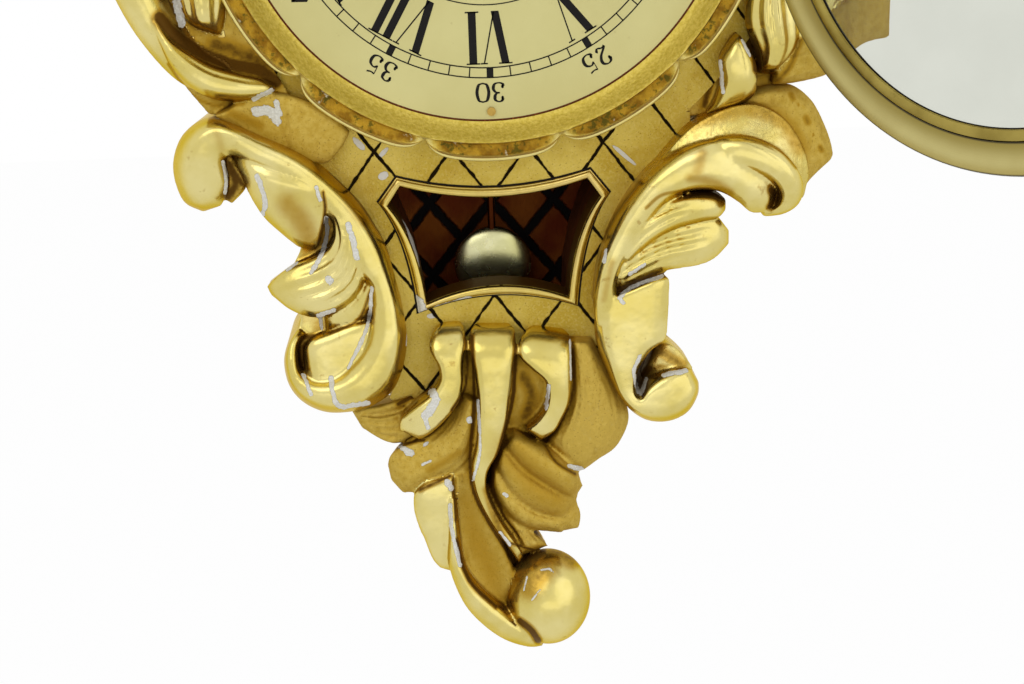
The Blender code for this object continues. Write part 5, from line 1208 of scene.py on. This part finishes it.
def dark_paint(name, colour, roughness=0.4):
    black = Finish(name, roughness, gleam=0.15)
    thin = black.noise(900, 3)
    tone = black.mix(thin.step(0.55, 0.8) * 0.5, srgb(*colour), srgb(*[min(255, v * 2 + 14) for v in colour]))
    return black.set(base_color=tone, roughness=roughness - 0.06 + thin * 0.12)


LINE_BLACK = dark_paint("line_black", (18, 12, 6), 0.6)
# Painted shadow: a thin black ring round the foot of the moulding, where it meets the panel.
finished(mesh_piece("rim_shadow_line", *rings(swept(RIM_SHADOW_LINE))), LINE_BLACK, "case", slot="matt_gilt")

# %% [markdown]
# ## The dial
# The dial is a painted plate. Its figures and minute track are printed, so here they are very thin plates on it.
# Letters could come from a font, but the figures are of an old kind with fat and fine strokes.
# A pen that is broad on upright strokes and fine on level ones draws them well.

# %% Draw the dial's figures
DIAL_FRONT = 0.0635
PRINT_RISE, PRINT_THICK = 0.00005, 0.00009
TRACK_OUTER, TRACK_INNER, CHAPTER_INNER, MINUTES_RADIUS, EDGE_RADIUS = 80.4, 76.4, 51.5, 86.4, 97.7


class Plates:
    """Flat shapes on the dial, kept as lists of corners and faces."""

    def __init__(self):
        self.corners, self.faces = [], []

    def strip(self, left, right):
        start = len(self.corners)
        count = len(left)
        self.corners += [tuple(p) for p in left] + [tuple(p) for p in right]
        self.faces += [(start + i, start + i + 1, start + count + i + 1, start + count + i) for i in range(count - 1)]

    def ring(self, radius, width, steps=180):
        angle = np.linspace(0, 2 * math.pi, steps + 1)
        ray = np.stack((np.sin(angle), np.cos(angle)), axis=1)
        self.strip(ray * (radius - width / 2), ray * (radius + width / 2))

    def stroke(self, points, thick, thin, frame_at):
        """A pen stroke through points in a box of width and height 1, set on the dial by frame_at."""
        points = smooth_rows(points, 8) if len(points) > 2 else np.array(points, float)
        ahead = np.gradient(points, axis=0)
        ahead = ahead / np.hypot(*ahead.T)[:, None]
        width = (thin + (thick - thin) * np.abs(ahead[:, 1]) ** 1.6)[:, None] / 2
        side = np.stack((-ahead[:, 1], ahead[:, 0]), axis=1) * width
        self.strip(frame_at(points - side), frame_at(points + side))

    def dot(self, centre, radius, frame_at):
        angle = np.linspace(0, math.pi, 9)
        arc = np.stack((np.cos(angle), np.sin(angle)), axis=1) * radius
        self.strip(frame_at(centre + arc), frame_at(centre + arc * (1, -1)))


def upright(angle, radius, shift=0.0):
    """Places points beside a ray of the dial: x runs clockwise and y outwards, in mm."""
    ray = np.array((math.sin(angle), math.cos(angle)))
    clock = np.array((ray[1], -ray[0]))

    def put(points):
        points = np.asarray(points)
        return points[:, :1] * clock + shift * clock + (points[:, 1:] + radius) * ray

    return put


FAT, THIN, TALL, FOOT_RADIUS = 3.1, 0.55, 21.0, 54.0
SERIF, LETTER_GAP, DIGIT_GAP = 1.15, 2.0, 0.9
BROAD_PEN, FINE_PEN, BALL_SIZE = 0.24, 0.07, 0.1
ROMAN = {"I": 3.1, "V": 11.0, "X": 11.5}


def roman(plates, word, frame_at):
    """A Roman figure with its foot at y 0, fat on falling strokes and fine on rising ones."""
    x = -(sum(ROMAN[c] for c in word) + LETTER_GAP * (len(word) - 1)) / 2
    for c in word:
        wide = ROMAN[c]
        bars = {
            "I": [((x + wide / 2, 0), (x + wide / 2, TALL), FAT)],
            "V": [((x + 5.4, 0), (x + FAT / 2, TALL), FAT), ((x + 5.8, 0), (x + wide - 0.8, TALL), THIN)],
            "X": [((x + wide - FAT / 2, 0), (x + FAT / 2, TALL), FAT), ((x + 0.8, 0), (x + wide - 0.8, TALL), THIN)],
        }[c]
        for (ax, ay), (bx, by), width in bars:
            half = width / 2
            plates.strip(frame_at([(ax - half, ay), (bx - half, by)]), frame_at([(ax + half, ay), (bx + half, by)]))
            ends = [(bx, TALL)] if c == "V" else [(ax, 0), (bx, TALL)]
            for sx, sy in ends:
                left, right = sx - half - SERIF, sx + half + SERIF
                low = sy if sy == 0 else sy - THIN
                plates.strip(*[frame_at([(left, y), (right, y)]) for y in (low, low + THIN)])
        x += wide + LETTER_GAP


DIGITS = {
    "0": [[(0.5, 1), (0.2, 0.9), (0.06, 0.5), (0.2, 0.1), (0.5, 0)],
          [(0.5, 0), (0.8, 0.1), (0.94, 0.5), (0.8, 0.9), (0.5, 1)]],
    "1": [[(0.52, 0), (0.52, 1)], [(0.52, 0.98), (0.36, 0.84), (0.2, 0.8)], [(0.2, 0.02), (0.84, 0.02)]],
    "2": [[(0.14, 0.72), (0.24, 0.93), (0.5, 1), (0.78, 0.9), (0.84, 0.7), (0.66, 0.44), (0.3, 0.2), (0.12, 0.04)],
          [(0.12, 0.06), (0.4, 0.1), (0.7, 0.03), (0.88, 0.2)]],
    "3": [[(0.14, 0.8), (0.28, 0.96), (0.5, 1), (0.74, 0.9), (0.76, 0.7), (0.62, 0.56), (0.4, 0.53)],
          [(0.4, 0.53), (0.72, 0.48), (0.88, 0.28), (0.76, 0.06), (0.46, 0), (0.2, 0.06), (0.12, 0.2)]],
    "4": [[(0.66, 0), (0.66, 1)], [(0.66, 1), (0.34, 0.62), (0.06, 0.3)], [(0.06, 0.28), (0.94, 0.28)],
          [(0.42, 0.02), (0.9, 0.02)]],
    "5": [[(0.24, 0.5), (0.24, 0.98)], [(0.24, 0.96), (0.5, 0.92), (0.82, 0.98)],
          [(0.24, 0.52), (0.5, 0.63), (0.8, 0.52), (0.88, 0.3), (0.76, 0.08), (0.46, 0), (0.2, 0.06), (0.12, 0.2)]],
    "6": [[(0.82, 0.84), (0.66, 0.98), (0.42, 0.94), (0.18, 0.68), (0.1, 0.34), (0.22, 0.06), (0.5, 0)],
          [(0.5, 0), (0.8, 0.08), (0.9, 0.3), (0.78, 0.54), (0.5, 0.6), (0.24, 0.5), (0.14, 0.32)]],
}
BALLS = {"2": [(0.2, 0.74)], "3": [(0.2, 0.8), (0.19, 0.2)], "5": [(0.19, 0.2)], "6": [(0.76, 0.82)]}


def digits(plates, word, angle, radius, high=7.6, wide=5.4):
    for i, c in enumerate(word):
        shift = (i - (len(word) - 1) / 2) * (wide + DIGIT_GAP)
        place = upright(angle, radius - high / 2, shift - wide / 2)
        scaled = lambda points, place=place: place(np.asarray(points) * (wide, high))
        for points in DIGITS[c]:
            fat = FINE_PEN if c == "5" and len(points) == 2 else BROAD_PEN
            plates.stroke(np.array(points), fat, FINE_PEN, scaled)
        for centre in BALLS.get(c, ()):
            plates.dot(np.array(centre), BALL_SIZE, scaled)


def print_on_dial(name, plates, material):
    """Turns flat shapes into a film of paint on the dial's front."""
    flat = np.array(plates.corners)
    depth = np.full(len(flat), -DIAL_FRONT - PRINT_RISE)
    film = mesh_piece(name, np.stack((flat[:, 0] / MM_PER_M, depth, flat[:, 1] / MM_PER_M), axis=1), plates.faces)
    applied(film, "SOLIDIFY", thickness=PRINT_THICK, offset=0)
    finished(film, material, "case", slot="cream_dial", angle=20)


printed = Plates()
for radius, width in ((TRACK_OUTER, 0.5), (TRACK_INNER, 0.5), (CHAPTER_INNER, 0.45)):
    printed.ring(radius, width)
for minute in range(60):
    half = 1.35 if minute % 5 == 0 else 0.25
    place = upright(minute * math.pi / 30, TRACK_INNER)
    printed.strip(*[place([(x, 0), (x, 4.0)]) for x in (-half, half)])
for hour, word in enumerate("I II III IIII V VI VII VIII IX X XI XII".split(), 1):
    angle = hour * math.pi / 6
    roman(printed, word, upright(angle, FOOT_RADIUS))
    digits(printed, str(hour * 5), angle, MINUTES_RADIUS)
print_on_dial("dial_figures", printed, dark_paint("print_black", (16, 13, 10)))
edge = Plates()
edge.ring(EDGE_RADIUS, 0.9, 240)
print_on_dial("dial_edge_line", edge, dark_paint("edge_brown", (92, 44, 8)))


def dial_paint():
    cream = Finish("dial_paint", 0.42, 0.25)
    cloud = cream.noise(22, 4)
    fleck = cream.noise(1500, 3)
    tone = cream.mix(cloud.step(0.3, 0.7), srgb(203, 194, 128), srgb(211, 203, 138))
    tone = cream.mix(cream.noise(320, 3).step(0.70, 0.76) * 0.25, tone, srgb(168, 152, 92))
    return cream.set(base_color=tone, roughness=0.38 + fleck * 0.12, normal=cream.bump(fleck, 0.00004))


DIAL_PAINT = dial_paint()

# %% [markdown]
# ## Turned pieces: the bob and the door's ring
# What is round on the real clock was turned on a lathe or spun. Blender's spin does the same:
# a chain of edges is drawn in one plane and turned about an axis, and the seam is merged.

# %% Spin the bob and the door


def spun(name, profile, steps=96):
    """Turns a profile of radius and depth from the wall, in mm, about an axis along y."""
    points = [(radius / MM_PER_M, -depth / MM_PER_M, 0) for radius, depth in profile]
    mesh = bpy.data.meshes.new(name)
    mesh.from_pydata(points, [(i, i + 1) for i in range(len(points) - 1)], [])
    return edited(
        linked(name, mesh),
        lambda: bpy.ops.mesh.spin(steps=steps, angle=2 * math.pi, center=(0, 0, 0), axis=(0, 1, 0)),
        lambda: bpy.ops.mesh.remove_doubles(threshold=1e-6),
    )


def brass(name, pale, dark, roughness):
    metal = Finish(name, roughness, 1.0)
    cloud = metal.noise(45, 4)
    tone = metal.mix(cloud.step(0.3, 0.7), srgb(*dark), srgb(*pale))
    stain = metal.noise(210, 4, 0.6)
    tone = metal.mix(stain.step(0.62, 0.75) * 0.5, tone, srgb(*[v * 0.55 for v in dark]))
    gloss = roughness - 0.05 + cloud * 0.1 + stain.step(0.6, 0.75) * 0.15
    return metal.set(base_color=tone, roughness=gloss, normal=metal.bump(metal.noise(1400, 2), FINE_BUMP))


BOB_BRASS = brass("bob_brass", (228, 224, 178), (188, 184, 128), 0.27)
DARK_BRASS = brass("dark_brass", (172, 154, 80), (140, 122, 58), 0.36)
OLD_BRASS = brass("old_brass", (190, 160, 84), (158, 124, 56), 0.38)

BOB_RADIUS, BOB_BULGE, BOB_DEPTH, BOB_HEIGHT = 17.0, 4.2, 22, -0.170
BOB_EDGE = [(BOB_RADIUS, 22.45), (BOB_RADIUS, 21.55)]
bulge = [(BOB_RADIUS * math.cos(t), BOB_BULGE * math.sin(t) ** 0.9) for t in np.linspace(0.12, math.pi / 2, 18)]
bulge = [(max(radius, 0.0), depth) for radius, depth in bulge]
front, back = [[(radius, BOB_DEPTH + side * depth) for radius, depth in bulge] for side in (1, -1)]
bob = spun("polished_bob", front[::-1] + BOB_EDGE + back)
bob.data.transform(Matrix.Translation((0, 0, BOB_HEIGHT)))
finished(bob, BOB_BRASS, "pendulum", ("pendulum_bob",), angle=50)

HINGE_X, HINGE_Y, DOOR_TURN = 0.106, -0.0811, math.radians(127)


def door_brass():
    """Satin brass in bands round the door's own middle, with a black line at its outer edge."""
    metal = Finish("door_brass", 0.3, 1.0)
    x, y, z = metal.axes()
    across = (x - HINGE_X) * math.cos(DOOR_TURN) + (y - HINGE_Y) * math.sin(DOOR_TURN) + HINGE_X
    radius = (across * across + z * z).math("SQRT")
    cloud = metal.noise(45, 3)
    bands = {"W": radius * 9000.0, "Scale": 1.0, "Detail": 3.0}
    ring = metal.add("ShaderNodeTexNoise", {"noise_dimensions": "1D"}, bands, "Fac")
    tone = metal.mix(radius.step(0.091, 0.0985), srgb(150, 134, 70), srgb(196, 184, 122))
    tone = metal.mix(radius.step(0.0985, 0.1022) * 0.7, tone, srgb(172, 154, 86))
    tone = metal.mix((cloud * 0.5 + ring * 0.5).step(0.4, 0.62) * 0.3, tone, srgb(160, 142, 78))
    dark = radius.step(0.1019, 0.1026) + radius.step(0.0918, 0.0911)
    tone = metal.mix(dark * 0.9, tone, srgb(34, 26, 12))
    normal = metal.bump(ring, FINE_BUMP)
    return metal.set(base_color=tone, roughness=0.26 + ring * 0.1, metallic=1 - dark * 0.5, normal=normal)


HINGE = Vector((HINGE_X, HINGE_Y, 0))
OPEN_DOOR = Matrix.Translation(HINGE) @ Matrix.Rotation(DOOR_TURN, 4, "Z") @ Matrix.Translation(-HINGE)
DOOR_STEPS = 160
BEZEL = (
    (91.0, 75.35), (91.5, 75.3), (94.5, 75.55), (98.5, 75.35), (101.4, 75.3), (102.6, 75.6), (103.0, 76.4),
    (103.0, 78.4), (102.4, 78.9), (100.5, 79.3), (97.5, 79.8), (95.0, 80.0), (92.0, 79.85), (89.5, 79.3),
    (87.6, 78.7), (87.0, 78.2), (87.0, 77.7), (91.0, 77.7), (91.0, 75.35),
)
RETAINER = ((86.5, 75.5), (86.8, 74.8), (87.6, 74.6), (89.6, 74.6), (90.5, 74.9), (90.7, 75.5), (86.5, 75.5))
# A thin black ring at the inner edge of the retaining ring.
DARK_EDGE = ((86.1, 75.9), (86.1, 75.7), (87.2, 75.7), (87.2, 75.9), (86.1, 75.9))
for name, profile, material, nodes, slot, angle in (
    ("door_ring", BEZEL, door_brass(), ("door_bezel",), None, 25),
    ("retaining_ring", RETAINER, DARK_BRASS, ("glass_retainer",), None, 30),
    ("dark_edge_line", DARK_EDGE, LINE_BLACK, (), "glass", 40),
):
    ring = spun(name, profile, DOOR_STEPS)
    ring.data.transform(OPEN_DOOR)
    finished(ring, material, "door", nodes, slot, angle)

# %% [markdown]
# ## Finishes for the rest
# The solids that stay as they are still need finishes: brass wheels and plates, steel arbors, black hands,
# the dark wood of the case and the door's glass.

# %% Finishes for the other solids


def steel(name, pale, dark, roughness):
    metal = Finish(name, roughness, 1.0)
    cloud = metal.noise(70, 4)
    fine = metal.noise(900, 2, 0.5, (1, 1, 8))
    tone = metal.mix(cloud.step(0.3, 0.7), srgb(*dark), srgb(*pale))
    tone = metal.mix(metal.noise(260, 4).step(0.64, 0.74) * 0.6, tone, srgb(92, 66, 44))
    return metal.set(base_color=tone, roughness=roughness - 0.06 + fine * 0.12, normal=metal.bump(fine, FINE_BUMP))


def clear_glass():
    glass = Finish("door_pane", 0.0)
    haze = glass.noise(28, 4)
    glass.shader.inputs["Transmission Weight"].default_value = 1.0
    glass.shader.inputs["IOR"].default_value = 1.3
    tone = glass.mix(haze.step(0.3, 0.7), srgb(212, 214, 203), srgb(217, 219, 208))
    return glass.set(base_color=tone, roughness=haze.step(0.55, 0.8) * 0.02)


SLOT_FINISH = {
    "bright_gilt": OLD_BRASS,
    "matt_gilt": TRELLIS_GILT,
    "dark_wood": CASE_WOOD,
    "cream_dial": DIAL_PAINT,
    "brass": OLD_BRASS,
    "steel": steel("plain_steel", (150, 150, 150), (104, 102, 100), 0.34),
    "black_steel": steel("black_steel", (44, 42, 40), (26, 24, 24), 0.3),
    "glass": clear_glass(),
}
for name, node in NODES.items():
    node.material_slots[0].material = SLOT_FINISH[slot_of(name)]
NODES["back_board"].material_slots[0].material = BOARD_WOOD
NODES["pendulum_rod"].material_slots[0].material = brass("rod_bronze", (84, 38, 14), (60, 26, 10), 0.42)
print("finishes on", len(NODES), "solids")

# %% [markdown]
# ## Light, floor and background
# The photograph has a white surround with soft light from all sides. A white world for the camera, for gloss and
# for glass gives the pale reflections that gold leaf needs, and large lamps give it form. A pale floor lies well below.

# %% Studio
SEEN_RAYS = ("Is Camera Ray", "Is Glossy Ray", "Is Transmission Ray")
SOFT_LIGHT, FULL_LIGHT = 0.62, 1.0


def lamp(name, place, aim, size, power):
    light = bpy.data.lights.new(name, "AREA")
    light.shape = "DISK"
    light.size = size
    light.energy = power
    hung = linked(name, light)
    hung.location = place
    hung.rotation_euler = (Vector(aim) - Vector(place)).to_track_quat("-Z", "Y").to_euler()


def studio_world():
    """White to the camera, in gloss and through glass, and softer as light on everything else."""
    world = bpy.data.worlds.new("studio")
    bpy.context.scene.world = world
    world.use_nodes = True
    tree = world.node_tree
    tree.nodes.clear()
    path = tree.nodes.new("ShaderNodeLightPath")
    shown = path.outputs[SEEN_RAYS[0]]
    for ray in SEEN_RAYS[1:]:
        either = tree.nodes.new("ShaderNodeMath")
        either.operation = "MAXIMUM"
        tree.links.new(shown, either.inputs[0])
        tree.links.new(path.outputs[ray], either.inputs[1])
        shown = either.outputs[0]
    mix = tree.nodes.new("ShaderNodeMixShader")
    tree.links.new(shown, mix.inputs[0])
    for place, strength in enumerate((SOFT_LIGHT, FULL_LIGHT), 1):
        white = tree.nodes.new("ShaderNodeBackground")
        white.inputs["Color"].default_value = (1, 1, 1, 1)
        white.inputs["Strength"].default_value = strength
        tree.links.new(white.outputs[0], mix.inputs[place])
    out = tree.nodes.new("ShaderNodeOutputWorld")
    tree.links.new(mix.outputs[0], out.inputs["Surface"])


studio_world()
lamp("key", (-0.9, -1.5, 1.2), (0, -0.05, -0.12), 2.0, 11)
lamp("fill", (1.3, -1.4, 0.2), (0, -0.05, -0.12), 2.0, 5)
lamp("low", (0.1, -1.5, -0.9), (0, -0.05, -0.15), 1.6, 3)

bpy.ops.object.select_all(action="DESELECT")
bpy.ops.mesh.primitive_plane_add(size=6, location=(0, 0, -0.75))
floor = bpy.context.active_object
floor.name = "floor"
floor_paint = Finish("floor_white", 0.9)
floor_paint.set(base_color=(0.92, 0.92, 0.92))
camera_ray, glossy_ray, through_ray = [floor_paint.add("ShaderNodeLightPath", output=ray) for ray in SEEN_RAYS]
shown = camera_ray.math("MAXIMUM", glossy_ray).math("MAXIMUM", through_ray)
glow = floor_paint.add("ShaderNodeEmission", values={"Color": (1, 1, 1), "Strength": 1.0})
plain = Tone(floor_paint, floor_paint.shader.outputs[0])
mixed = floor_paint.add("ShaderNodeMixShader", values={0: shown * 0.97, 1: plain, 2: glow})
floor_paint.tree.links.new(mixed.socket, floor_paint.tree.nodes["Material Output"].inputs["Surface"])
floor.data.materials.append(floor_paint.material)
floor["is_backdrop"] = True

scene = bpy.context.scene
scene.view_settings.view_transform = "Standard"

# %% [markdown]
# ## Check the size and finish
# The box of the dressed clock is measured, and how far it differs from the box of the solids is printed in mm.

# %% Measure and finish
dressed = [[float(v) for v in corner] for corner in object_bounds()]
grown = [np.round((np.array(dressed[i]) - CAD_BOX[i]) * 1000, 1).tolist() for i in (0, 1)]
print("the dressed clock differs in mm by", grown)
